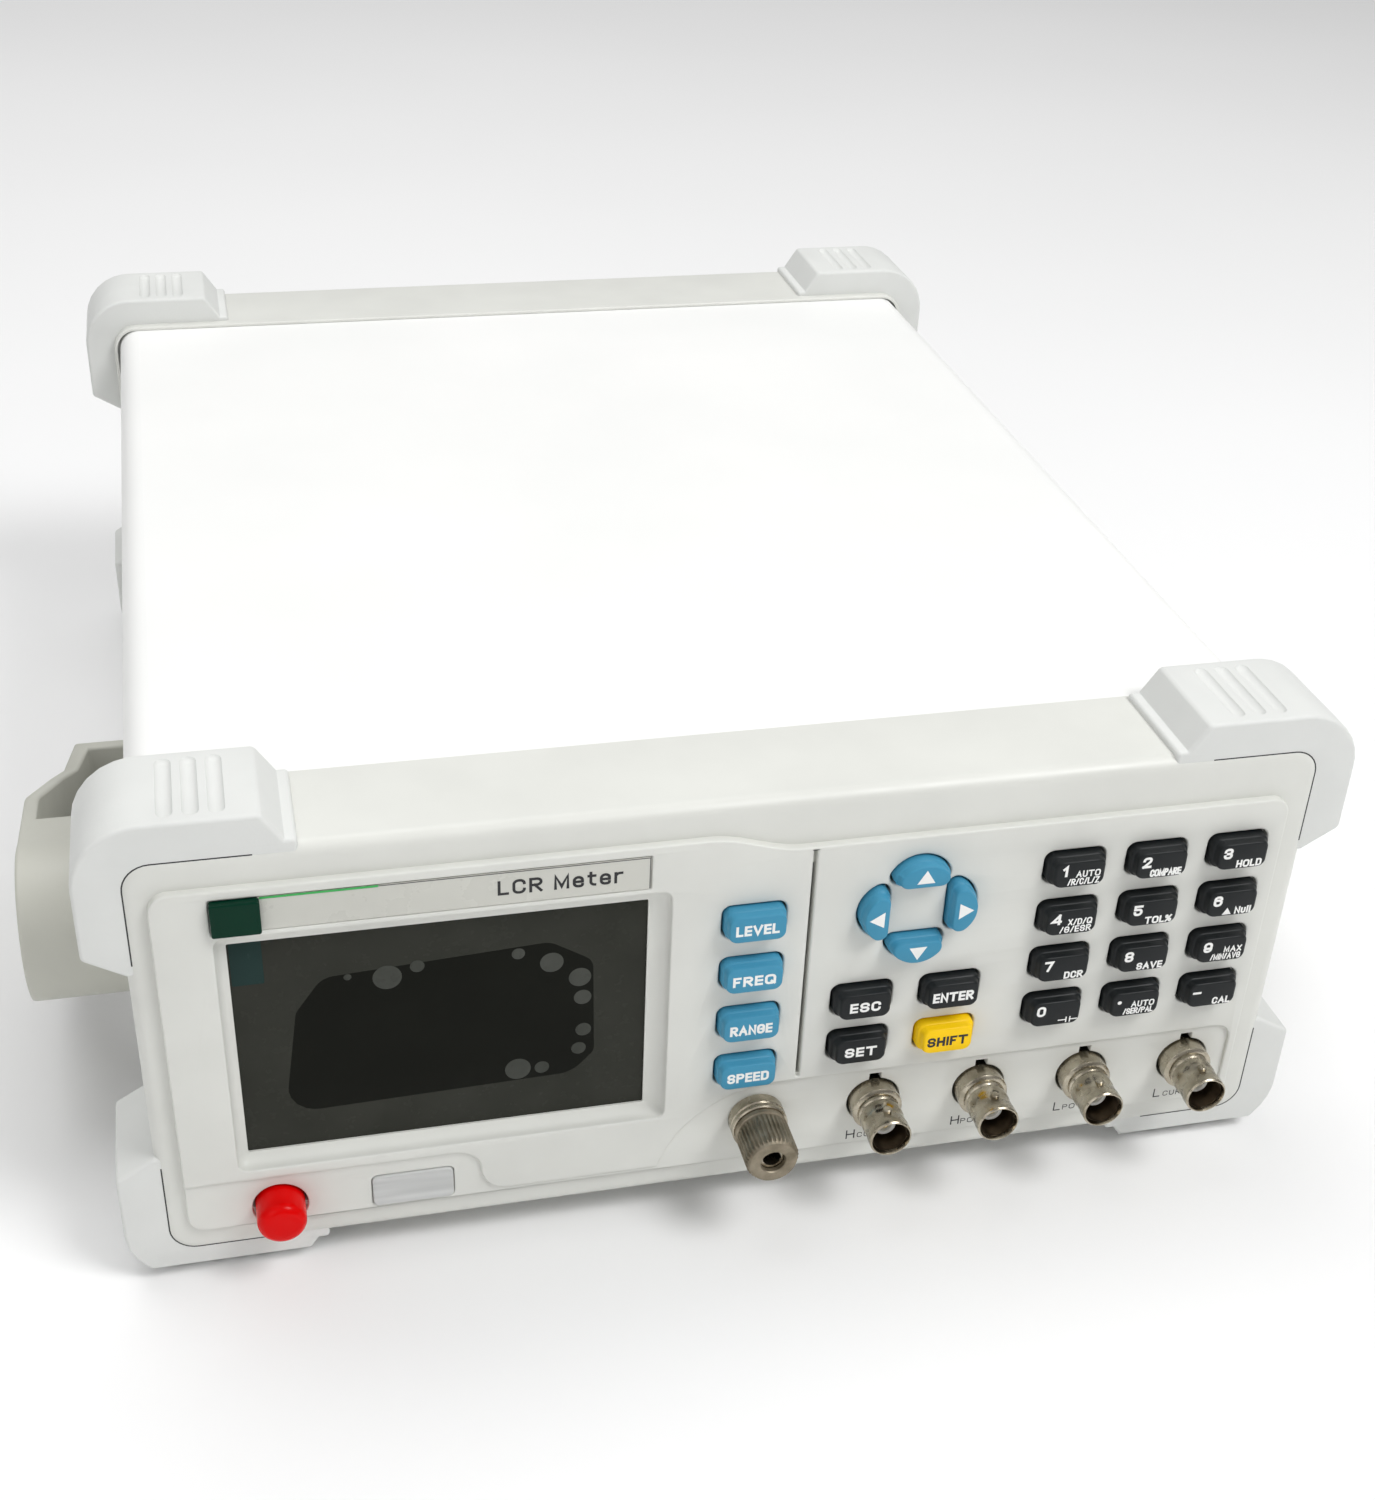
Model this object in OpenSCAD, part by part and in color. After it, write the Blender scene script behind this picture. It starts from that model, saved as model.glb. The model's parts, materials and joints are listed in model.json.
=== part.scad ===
// Bench LCR meter: a half-rack case with corner bumpers, keypad, display and four-terminal input.
// Millimetres. X runs to the right, Y to the rear, Z up. The origin lies under the middle of the
// whole instrument, on the surface that its feet stand on.

/* [Case] */
// Width of the front and rear frames
frame_w = 254; // [250:1:262]
// Height of the front and rear frames
frame_h = 103; // [102:0.5:108]
// Depth over both frames
frame_d = 323; // [300:1:360]
// Depth of the front frame
bezel_d = 28; // [26:1:34]
// Depth of the rear frame
rear_d = 30; // [26:1:40]
// Corner radius of both frames
frame_r = 7; // [5:0.5:9]
// Wall thickness of the moulded frames
frame_wall = 3; // [2.5:0.25:4]
// How far the sheet cover lies inside the frames' outer faces
cover_inset = 1; // [0.5:0.25:2]
// Sheet metal thickness
sheet = 1; // [0.8:0.1:1.5]

/* [Front panel] */
// How far the raised panel stands in front of the frame
panel_raise = 2; // [1.5:0.25:3]
// Width of the display opening
lcd_w = 85.6; // [80:0.2:90]
// Height of the display opening
lcd_h = 55; // [50:0.5:58]
// Height of the key caps above the panel
key_reach = 3.5; // [3:0.25:5]
// Travel of a key
key_travel = 1.5; // [1:0.1:2]
// Gap around a key in its hole
key_gap = 0.35; // [0.3:0.05:0.5]
// Travel of the power button
power_travel = 3; // [2:0.25:4]

/* [Terminals] */
// Distance between two test sockets
bnc_pitch = 25.4; // [25:0.1:26]
// Outer diameter of a test socket's barrel
bnc_d = 9.7; // [9.6:0.05:9.8]
// How far a test socket stands in front of the panel recess
bnc_reach = 13.5; // [12:0.25:15]
// Bore for a banana plug in the ground post
banana_d = 4.1; // [4.05:0.05:4.2]

/* [Bumpers] */
// Thickness of a bumper above the frame, which is also the foot height
bumper_t = 7.5; // [6:0.25:8]
// Thickness of a bumper beside the frame
bumper_side_t = 8.3; // [7:0.1:9]
// Length of a bumper along the top or bottom edge
bumper_leg_x = 35; // [30:0.5:38]
// Length of a bumper along the side edge
bumper_leg_z = 27.5; // [24:0.5:30]

/* [Tilt stand] */
// Radius of the round hubs on the sides
hub_r = 18.5; // [17:0.25:19.5]
// Distance of the hubs' axis behind the front face
hub_y = 71; // [68:0.5:76]
// Height of the hubs' axis above the frame's underside
hub_z = 42; // [40:0.5:46]
// How far the hubs stand out from the frame's side
hub_reach = 26; // [22:0.5:28]

/* [Hidden] */

$fn = 48;
eps = 0.01;

// Places along Y, from the front frame's face
panel_y = -panel_raise;
plate_t = 3;
recess_y = panel_y + 0.8;
board_y = plate_t + 5;
switch_y = board_y - 0.3;
knob_front = -17;
rear_y = frame_d - rear_d;
rear_panel_y = frame_d - 12;
rear_face = rear_panel_y + 2;
y_middle = (frame_d + knob_front) / 2;

// Display
lcd_x = -64.8;
lcd_z = 53;
label_x = -66.2;
label_z = 89.4;
label_w = 87.6;
label_h = 7.8;
badge_w = 9.7;

// Keys: centre x, centre z, width and height; the frame's underside is z = 0
key_w = 13.3;
key_h = 7.4;
key_r = 2;
fn_x = 0;
fn_z = 74.8;
fn_pitch = 13.3;
edit_x = [25.5, 45.7];
edit_z = [50.6, 38.1];
num_x = 70.95;
num_z = 80;
num_pitch_x = 19.05;
num_pitch_z = 12.7;
ring_x = 36;
ring_z = 73.5;
ring_r = 13.1;
arrow_w = 12.6;
arrow_t = 6.4;
arrow_r = 7;
arrow_corner = 2;
ENTRY_PAD = [["1", 0, 0], ["2", 1, 0], ["3", 2, 0], ["4", 0, 1], ["5", 1, 1], ["6", 2, 1],
             ["7", 0, 2], ["8", 1, 2], ["9", 2, 2], ["0", 0, 3], ["point", 1, 3], ["minus", 2, 3]];
FUNCTION_KEYS = ["level", "freq", "range", "speed"];
EDIT_KEYS = [["esc", 0, 0], ["set", 0, 1], ["enter", 1, 0], ["shift", 1, 1]];
ARROW_KEYS = [["up", 0], ["left", 90], ["down", 180], ["right", 270]];

// Raised panel: sides, heights and corner radius, then the recesses in it
panel_left = -121.5;
panel_right = 120;
panel_low = 7;
panel_top = 95.6;
keypad_top = 91.5;
panel_r = 4;
divider_x = 12.4;
strip_end = -58.5;
strip_z = 20.5;
ledge_z = 8.7;
recess_x = 8;
recess_z = 29;
recess_right = 118;

// Controls and terminals
power_x = -102;
power_z = 11.6;
power_d = 10.6;
power_reach = 7;
status_x = -73.4;
status_z = 12;
status_w = 17.6;
status_h = 8.3;
bnc_x = 31.2;
terminal_z = 19.5;
post_x = 3.5;
stud_d = 6;
knob_d = 12;
ring_d = 12.8;
knob_mouth_d = 5.6;
core_depth = 4.3;

// Rear fittings: centre x and z
inlet_x = -88;
fitting_z = 38;
selector_x = -45;
usb_x = 30;
serial_x = 80;

// Mid-heights and half sizes that several sub-parts share
mid_z = frame_h / 2;
half_w = frame_w / 2;
cover_w = frame_w - 2 * cover_inset - 1.6;

// The height at which the cover ends and the tray begins
seam_z = 14;
cover_play = 0.3;
screw_x = 112;
screw_z = 40;
jack_x = 12.495;
jack_d = 2.4;
pin_pitch = 2.77;

// Points along an arc about [x, z], from angle a0 to a1
function arc(x, z, r, a0, a1, n = 8) =
    [for (i = [0 : n]) let (a = a0 + (a1 - a0) * i / n) [x + r * cos(a), z + r * sin(a)]];

// Points along a wave that runs from [x0, z0] to [x1, z1] and is level at both ends
function wave(x0, z0, x1, z1, n = 12) =
    [for (i = [0 : n]) [x0 + (x1 - x0) * i / n, (z0 + z1) / 2 + (z0 - z1) / 2 * cos(180 * i / n)]];

module place() {
    translate([0, -y_middle, bumper_t]) children();
}

// A flat outline in X and Z, extruded from y0 to y1
module slab_y(y0, y1) {
    translate([0, y1, 0]) rotate([90, 0, 0]) linear_extrude(y1 - y0) children();
}

// An outline in Y and Z, extruded from x0 to x1
module slab_x(x0, x1) {
    translate([x0, 0, 0]) rotate([90, 0, 90]) linear_extrude(x1 - x0) children();
}

module rounded_rect(w, h, r) {
    square([w - 2 * r, h], center = true);
    square([w, h - 2 * r], center = true);
    for (sx = [-1, 1], sz = [-1, 1])
        translate([sx * (w / 2 - r), sz * (h / 2 - r)]) circle(r);
}

module rod_y(x, z, d, y0, y1) {
    translate([x, y1, z]) rotate([90, 0, 0]) cylinder(h = y1 - y0, d = d);
}

module frame_outline(inset = 0) {
    translate([0, mid_z])
        rounded_rect(frame_w - 2 * inset, frame_h - 2 * inset, max(frame_r - inset, 2));
}

// ---- Keys ----

module key_outline(grow = 0) {
    rounded_rect(key_w + 2 * grow, key_h + 2 * grow, key_r + grow);
}

// The outline of the upper arrow key, centred on the ring's centre
module arrow_outline(grow = 0) {
    intersection() {
        translate([0, ring_r - arrow_r]) circle(arrow_r + grow);
        translate([0, ring_r - arrow_t / 2])
            rounded_rect(arrow_w + 2 * grow, arrow_t + 2 * grow, arrow_corner + grow);
    }
}

// A key's cap, waist and flange behind the panel, from a centred outline
module key_solid(tone) {
    color(tone) {
        slab_y(panel_y - key_reach, plate_t + 0.4) children();
        slab_y(plate_t + 0.4, plate_t + 1.4) scale([1.1, 1.14]) children();
        rod_y(0, 0, 3.4, plate_t + 1.3, switch_y - 0.1 - key_travel);
    }
}

module plain_key(x, z, tone) {
    place() translate([x, 0, z]) key_solid(tone) key_outline();
}

module arrow_key(turn) {
    place() translate([ring_x, 0, ring_z]) rotate([0, -turn, 0])
        translate([0, 0, ring_r - arrow_t / 2])
            key_solid("steelblue") translate([0, arrow_t / 2 - ring_r]) arrow_outline();
}

module function_key(i) {
    plain_key(fn_x, fn_z - i * fn_pitch, "steelblue");
}

module edit_key(i, tone) {
    k = EDIT_KEYS[i];
    plain_key(edit_x[k[1]], edit_z[k[2]], tone);
}

module entry_key(i) {
    k = ENTRY_PAD[i];
    plain_key(num_x + k[1] * num_pitch_x, num_z - k[2] * num_pitch_z, "dimgray");
}

module key_holes() {
    for (i = [0 : 3]) translate([fn_x, fn_z - i * fn_pitch]) key_outline(key_gap);
    for (k = EDIT_KEYS) translate([edit_x[k[1]], edit_z[k[2]]]) key_outline(key_gap);
    for (k = ENTRY_PAD)
        translate([num_x + k[1] * num_pitch_x, num_z - k[2] * num_pitch_z]) key_outline(key_gap);
    for (k = ARROW_KEYS) translate([ring_x, ring_z]) rotate(k[1]) arrow_outline(key_gap);
}

// ---- Front frame and panel ----

// The raised panel: full height on the left, with a wave down to the keypad's side
module panel_outline() {
    polygon(concat(
        arc(panel_left + panel_r, panel_low + panel_r, panel_r, 180, 270),
        arc(panel_right - panel_r, panel_low + panel_r, panel_r, 270, 360),
        arc(panel_right - panel_r, keypad_top - panel_r, panel_r, 0, 90),
        wave(10, keypad_top, -10, panel_top),
        arc(panel_left + panel_r, panel_top - panel_r, panel_r, 90, 180)
    ));
}

// The recessed strip under the display: its right end turns down and runs on as a narrow ledge
module strip_outline() {
    polygon(concat(
        [[panel_left - 1, panel_low - 1], [0, panel_low - 1], [0, ledge_z]],
        arc(strip_end + 5.8, ledge_z + 5.8, 5.8, 270, 180),
        arc(strip_end - 5.5, strip_z - 5.5, 5.5, 0, 90),
        [[panel_left - 1, strip_z]]
    ));
}

// The terminal recess: straight top, and a curved left end around the ground post
module terminal_outline() {
    polygon(concat(
        [[recess_x - 28, panel_low - 1]],
        arc(recess_x, recess_z - 28, 28, 170, 90, 16),
        arc(recess_right - 4, recess_z - 4, 4, 90, 0),
        [[recess_right, panel_low - 1]]
    ));
}

module front_bezel() color("gainsboro") place() {
    difference() {
        union() {
            slab_y(0, bezel_d) frame_outline();
            slab_y(panel_y, eps) panel_outline();
        }
        slab_y(plate_t, bezel_d + 1) frame_outline(frame_wall);
        slab_y(bezel_d - 6, bezel_d + 1) frame_outline(cover_inset - 0.1);
        slab_y(panel_y - 1, recess_y) strip_outline();
        slab_y(panel_y - 1, recess_y) terminal_outline();
        translate([divider_x - 0.4, panel_y - 1, recess_z + 1]) cube([0.8, 2.2, 61]);
        slab_y(panel_y - 1, plate_t + 1) translate([lcd_x, lcd_z]) square([lcd_w, lcd_h], center = true);
        slab_y(plate_t - 1, plate_t + 1)
            translate([lcd_x, lcd_z]) square([lcd_w + 4, lcd_h + 4], center = true);
        slab_y(panel_y - 1, panel_y + 0.6)
            translate([label_x, label_z]) square([label_w + 0.2, label_h + 0.2], center = true);
        slab_y(panel_y - 1, plate_t + 1) key_holes();
        rod_y(power_x, power_z, power_d + 0.8, panel_y - 1, plate_t + 1);
        slab_y(panel_y - 1, plate_t + 1)
            translate([status_x, status_z]) rounded_rect(status_w + 0.1, status_h + 0.1, 1.4);
        for (i = [0 : 3]) rod_y(bnc_x + i * bnc_pitch, terminal_z, bnc_d + 0.1, panel_y - 1, plate_t + 1);
        rod_y(post_x, terminal_z, stud_d + 0.1, panel_y - 1, plate_t + 1);
    }
}

module lcd_window() color("dimgray", 0.6) place()
    slab_y(plate_t - 1, plate_t + 0.2)
        translate([lcd_x, lcd_z]) square([lcd_w + 3.6, lcd_h + 3.6], center = true);

module lcd_module() color("darkslategray") place() {
    difference() {
        slab_y(plate_t + 0.2, plate_t + 6)
            translate([lcd_x, lcd_z]) square([lcd_w + 8, lcd_h + 8], center = true);
        slab_y(plate_t + 4, plate_t + 7)
            translate([lcd_x, lcd_z]) square([lcd_w - 12, lcd_h - 12], center = true);
    }
    slab_y(plate_t + 6, plate_t + 7.6)
        translate([lcd_x, lcd_z]) square([lcd_w + 12, lcd_h + 14], center = true);
}

module label_strip() color("silver") place()
    slab_y(panel_y + 0.1, panel_y + 0.6)
        translate([label_x + badge_w / 2, label_z]) square([label_w - badge_w, label_h], center = true);

module corner_badge() color("darkgreen") place()
    slab_y(panel_y - 1.5, panel_y + 0.6)
        translate([label_x - (label_w - badge_w) / 2, label_z]) square([badge_w, label_h], center = true);

module status_window() color("white", 0.6) place() {
    slab_y(recess_y - 0.4, plate_t)
        translate([status_x, status_z]) rounded_rect(status_w, status_h, 1.4);
    slab_y(plate_t, plate_t + 1)
        translate([status_x, status_z]) rounded_rect(status_w + 3, status_h + 2, 1.4);
}

module keypad_board() color("seagreen") place() {
    difference() {
        slab_y(board_y, board_y + 1.6) translate([56, 61]) square([128, 65], center = true);
        for (sx = [-1, 1], sz = [-1, 1]) rod_y(56 + sx * 61, 61 + sz * 29.5, 3.2, plate_t, plate_t + 8);
    }
    key_spots = concat(
        [for (i = [0 : 3]) [fn_x, fn_z - i * fn_pitch]],
        [for (k = EDIT_KEYS) [edit_x[k[1]], edit_z[k[2]]]],
        [for (k = ENTRY_PAD) [num_x + k[1] * num_pitch_x, num_z - k[2] * num_pitch_z]],
        [for (k = ARROW_KEYS) [ring_x - sin(k[1]) * (ring_r - arrow_t / 2),
                               ring_z + cos(k[1]) * (ring_r - arrow_t / 2)]]
    );
    for (p = key_spots) rod_y(p[0], p[1], 4, switch_y, board_y);
}

module power_button() color("red") place() {
    translate([power_x, recess_y - power_reach, power_z]) rotate([-90, 0, 0]) rotate_extrude() {
        translate([0, 2]) square([power_d / 2, power_reach + 2]);
        square([power_d / 2 - 2, 4]);
        intersection() {
            translate([power_d / 2 - 2, 2]) circle(2);
            square([power_d / 2, 3]);
        }
    }
    rod_y(power_x, power_z, 4, recess_y + 3, 22);
}

module power_switch() color("dimgray") place() {
    difference() {
        translate([power_x - 5, 20, power_z - 5]) cube([10, 16, 10]);
        rod_y(power_x, power_z, 4.4, 19, 27 + power_travel);
    }
    translate([power_x - 5, 30, 2]) cube([10, 6, power_z - 7]);
    translate([power_x - 4, 36, power_z - 3]) cube([8, 5, 1]);
}

// ---- Terminals ----

module bnc_shells() color("silver") place() for (i = [0 : 3])
    translate([bnc_x + i * bnc_pitch, 0, terminal_z]) {
        difference() {
            union() {
                rod_y(0, 0, bnc_d, recess_y - bnc_reach, plate_t + 9);
                rod_y(0, 0, 11.6, recess_y - 3.6, recess_y);
                rod_y(0, 0, 14, plate_t, plate_t + 1.8);
                translate([0, recess_y - bnc_reach + 4.2, -5.5]) cylinder(h = 11, d = 2);
            }
            rod_y(0, 0, 8.1, recess_y - bnc_reach - 1, recess_y - 2);
            rod_y(0, 0, 5, recess_y - 3, plate_t + 10);
        }
    }

module bnc_insulators() color("white") place() for (i = [0 : 3])
    translate([bnc_x + i * bnc_pitch, 0, terminal_z]) difference() {
        rod_y(0, 0, 5, recess_y - bnc_reach + core_depth, plate_t + 10);
        rod_y(0, 0, 2.2, recess_y - bnc_reach + core_depth - 1, plate_t + 11);
    }

module bnc_contacts() color("gold") place() for (i = [0 : 3])
    translate([bnc_x + i * bnc_pitch, 0, terminal_z]) difference() {
        rod_y(0, 0, 2.2, recess_y - bnc_reach + core_depth + 0.4, plate_t + 14);
        rod_y(0, 0, 1.4, recess_y - bnc_reach + core_depth, recess_y - 4);
    }

module ground_post() color("silver") place() {
    difference() {
        union() {
            rod_y(post_x, terminal_z, stud_d, knob_front + 1.5, plate_t + 10);
            rod_y(post_x, terminal_z, ring_d, recess_y - 3, recess_y);
            rod_y(post_x, terminal_z, 12, plate_t, plate_t + 3);
        }
        rod_y(post_x, terminal_z, banana_d, knob_front, -3);
    }
}

module clamp_ring() color("silver") place() difference() {
    rod_y(post_x, terminal_z, ring_d, recess_y - 4.5, recess_y - 3);
    rod_y(post_x, terminal_z, stud_d + 0.1, recess_y - 5, recess_y);
}

module ground_knob() color("silver") place() difference() {
    rod_y(post_x, terminal_z, knob_d, knob_front, recess_y - 4.5);
    rod_y(post_x, terminal_z, stud_d + 0.1, knob_front + 1.2, recess_y - 3);
    rod_y(post_x, terminal_z, knob_mouth_d, knob_front - 1, knob_front + 2);
    for (i = [0 : 23]) rotate_about_post(i * 15)
        translate([knob_d / 2, knob_front + 1.8, -0.35]) cube([0.6, 8.4, 0.7]);
}

module rotate_about_post(turn) {
    translate([post_x, 0, terminal_z]) rotate([0, turn, 0]) translate([-0.25, 0, 0]) children();
}

// ---- Covers and rear ----

module cover_outline(inset) {
    translate([0, mid_z])
        rounded_rect(cover_w - 2 * inset, frame_h - 2 * cover_inset - 2 * inset, frame_r - 1 - inset);
}

module cover_shell() {
    slab_y(bezel_d - 5.5, rear_y + 5.5) difference() {
        cover_outline(0);
        cover_outline(sheet);
    }
}

module top_cover() color("whitesmoke") place() difference() {
    cover_shell();
    translate([-half_w, 0, 0]) cube([frame_w, frame_d, seam_z]);
    pivot_holes();
}

module bottom_tray() color("lightgray") place() {
    difference() {
        intersection() {
            cover_shell();
            translate([-half_w, 0, 0]) cube([frame_w, frame_d, seam_z - cover_play]);
        }
        for (sx = [-1, 1], y = [60, 110, 160, 210, 260])
            translate([sx * 60, y, -1]) cylinder(h = 4, d = 4);
    }
    for (sx = [-1, 1]) translate([sx * (cover_w / 2 - 2.1) - 0.5, bezel_d + 8, 8])
        cube([1, rear_y - bezel_d - 16, 18]);
    for (sx = [-1, 1]) translate([sx * (cover_w / 2 - 1.65) - 0.65, bezel_d + 8, 8])
        cube([1.3, rear_y - bezel_d - 16, 1]);
}

module pivot_holes() {
    for (sx = [-1, 1]) translate([sx * half_w - 5, hub_y, hub_z]) rotate([0, 90, 0])
        cylinder(h = 10, d = 8.2);
}

module rear_bezel() color("gainsboro") place() difference() {
    slab_y(rear_y, frame_d) frame_outline();
    slab_y(rear_y - 1, frame_d + 1) frame_outline(frame_wall + 3);
    slab_y(rear_y - 1, rear_y + 6) frame_outline(cover_inset - 0.1);
    slab_y(rear_y + 5, rear_panel_y) frame_outline(frame_wall);
}

module rear_panel() color("lightgray") place() difference() {
    slab_y(rear_panel_y - 2, rear_panel_y) frame_outline(frame_wall + 0.4);
    slab_y(rear_panel_y - 3, rear_face) {
        translate([inlet_x, fitting_z]) square([28, 34], center = true);
        translate([selector_x, fitting_z]) square([14.2, 25.2], center = true);
        translate([usb_x, fitting_z]) square([12.3, 11.3], center = true);
        translate([serial_x, fitting_z]) square([19.4, 11], center = true);
    }
    for (sx = [-1, 1]) rod_y(serial_x + sx * jack_x, fitting_z, 3.2, rear_panel_y - 4, rear_face);
    for (i = [0 : 15]) translate([-10 + i * 7, rear_panel_y - 3, 66]) cube([3, 5, 22]);
}

module mains_inlet() color("dimgray") place() difference() {
    union() {
        slab_y(rear_panel_y, rear_face + 1)
            translate([inlet_x, fitting_z]) rounded_rect(50, 38, 3);
        slab_y(rear_panel_y - 22, rear_panel_y)
            translate([inlet_x, fitting_z]) square([27.6, 33.6], center = true);
    }
    slab_y(rear_panel_y - 15, rear_face + 2)
        translate([inlet_x, fitting_z - 6.5]) rounded_rect(24.4, 16.8, 2);
    slab_y(rear_panel_y - 20, rear_face + 2)
        translate([inlet_x, fitting_z + 10]) square([24.4, 8.4], center = true);
    pin_blades();
}

// Three flat pins: the middle one, for earth, sits higher
module pin_blades() for (p = [[-7, -2], [0, 2], [7, -2]])
    translate([inlet_x + p[0] - 1, rear_panel_y - 26, fitting_z - 6.5 + p[1] - 2])
        cube([2, 22.5, 4]);

module inlet_pins() color("silver") place() pin_blades();

module fuse_drawer() color("dimgray") place() {
    translate([inlet_x - 12, rear_panel_y - 19, fitting_z + 6]) difference() {
        cube([24, 21.6, 8]);
        translate([2, 1, 1.2]) cube([20, 17, 8]);
    }
    slab_y(rear_panel_y + 2.6, rear_panel_y + 4.4)
        translate([inlet_x, fitting_z + 10]) square([23.6, 8], center = true);
}

module voltage_selector() color("dimgray") place() difference() {
    union() {
        slab_y(rear_panel_y, rear_panel_y + 1.5)
            translate([selector_x, fitting_z]) rounded_rect(17, 34, 1.5);
        slab_y(rear_panel_y - 12, rear_panel_y)
            translate([selector_x, fitting_z]) square([14, 25], center = true);
    }
    slab_y(rear_panel_y - 3, rear_panel_y + 2)
        translate([selector_x, fitting_z]) square([8.4, 17.4], center = true);
}

module voltage_slider() color("firebrick") place() {
    slab_y(rear_panel_y - 2.6, rear_panel_y + 0.6)
        translate([selector_x, fitting_z - 4]) square([8, 9], center = true);
    for (i = [-1 : 1]) translate([selector_x - 4, rear_panel_y + 0.6, fitting_z - 4.4 + i * 2.6])
        cube([8, 0.6, 0.8]);
}

module serial_port() color("silver") place() {
    difference() {
        union() {
            slab_y(rear_panel_y, rear_panel_y + 1)
                translate([serial_x, fitting_z]) rounded_rect(30.8, 12.5, 1.5);
            slab_y(rear_panel_y - 9, rear_panel_y)
                translate([serial_x, fitting_z]) rounded_rect(18.6, 10.2, 2);
            slab_y(rear_panel_y + 1, rear_panel_y + 6.5)
                translate([serial_x, fitting_z]) rounded_rect(16.3, 7.9, 2.4);
            for (sx = [-1, 1]) translate([serial_x + sx * jack_x, rear_panel_y + 6, fitting_z])
                rotate([90, 0, 0]) cylinder(h = 5, d = 5.4, $fn = 6);
        }
        for (sx = [-1, 1])
            rod_y(serial_x + sx * jack_x, fitting_z, jack_d, rear_panel_y - 1, rear_panel_y + 7);
        for (i = [0 : 4])
            rod_y(serial_x + (i - 2) * pin_pitch, fitting_z + 1.42, 1.1, rear_panel_y, rear_face + 6);
        for (i = [0 : 3])
            rod_y(serial_x + (i - 1.5) * pin_pitch, fitting_z - 1.42, 1.1, rear_panel_y, rear_face + 6);
    }
}

module usb_socket() color("silver") place() {
    difference() {
        slab_y(rear_panel_y - 14, rear_panel_y + 1)
            translate([usb_x, fitting_z]) square([12, 11], center = true);
        slab_y(rear_panel_y - 8, rear_panel_y + 2)
            translate([usb_x, fitting_z]) square([8.5, 7.8], center = true);
    }
    slab_y(rear_panel_y - 8.5, rear_panel_y - 1)
        translate([usb_x, fitting_z]) square([5.6, 3.2], center = true);
}

// ---- Inside ----

module main_board() color("darkgreen") place() {
    translate([-10, 60, 20]) cube([120, 210, 1.6]);
    translate([10, 80, 21.6]) cube([22, 22, 2.4]);
    translate([50, 80, 21.6]) cube([14, 20, 2]);
    translate([30, 120, 21.6]) cube([60, 40, 12]);
    for (i = [0 : 3]) translate([10 + i * 22, 240, 21.6]) cylinder(h = 16, d = 12);
    for (sx = [-4, 104], y = [66, 262]) translate([sx, y, 2]) cylinder(h = 18, d = 6);
}

module mains_transformer() color("darkgoldenrod") place() {
    translate([-88, 205, 2]) {
        cube([56, 47, 2]);
        translate([0, 0, 2]) cube([56, 15, 46]);
        translate([0, 32, 2]) cube([56, 15, 46]);
        translate([0, 15, 2]) cube([8, 17, 46]);
        translate([48, 15, 2]) cube([8, 17, 46]);
        translate([9, 16, 3]) cube([38, 15, 44]);
    }
}

// ---- Tilt stand ----

bar_y0 = 141;
bar_y1 = 153.5;
bar_z0 = -6.8;
bar_z1 = -1.8;
arm_t = 3.5;
arm_end_y = bar_y1 + arm_t;
arm_end_z = 38;

// Side view of an arm: the hub's circle and a plate that slopes down to the bar
module arm_side_view() {
    translate([hub_y, hub_z]) circle(hub_r);
    polygon([
        [hub_y, hub_z + hub_r], [106, 54], [143.5, arm_end_z], [arm_end_y, arm_end_z],
        [arm_end_y, bar_z0], [bar_y0 - 6, bar_z0], [hub_y + 6, hub_z - hub_r + 1]
    ]);
}

// Top view of an arm, with x counted from the frame's side: the hub is full, and behind it run
// an outer wall that draws in towards the rear and an end wall across to the case
module arm_top_view() {
    polygon([
        [0.3, hub_y - hub_r], [hub_reach, hub_y - hub_r], [hub_reach, 104], [22, 132], [17, arm_end_y],
        [0.8, arm_end_y], [0.8, bar_y1], [17 - arm_t, bar_y1], [22 - arm_t, 132], [hub_reach - arm_t, 104],
        [hub_reach - arm_t, 92], [0.3, 92]
    ]);
}

module arm_right() color("gainsboro") difference() {
    union() {
        intersection() {
            slab_x(half_w, half_w + hub_reach + 1) arm_side_view();
            translate([half_w, 0, -20]) linear_extrude(100) arm_top_view();
        }
        translate([half_w + 8, 92, 36]) cube([hub_reach - 8 - 2, 22, 2.5]);
    }
    translate([half_w - 1, hub_y, hub_z]) rotate([0, 90, 0]) cylinder(h = hub_reach - 5, d = 8.1);
}

module tilt_arm_right() place() arm_right();
module tilt_arm_left() place() mirror([1, 0, 0]) arm_right();

module tilt_bar() color("gainsboro") place()
    translate([-(half_w + 13.4), bar_y0, bar_z0])
        cube([frame_w + 26.8, bar_y1 - bar_y0, bar_z1 - bar_z0]);

module pivot_bolts() color("silver") place() for (sx = [-1, 1])
    translate([sx * (half_w + 5.5), hub_y, hub_z]) rotate([0, 90, 0])
        cylinder(h = 2 * (hub_reach - 14), d = 8, center = true);

// ---- Bumpers and screws ----

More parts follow.
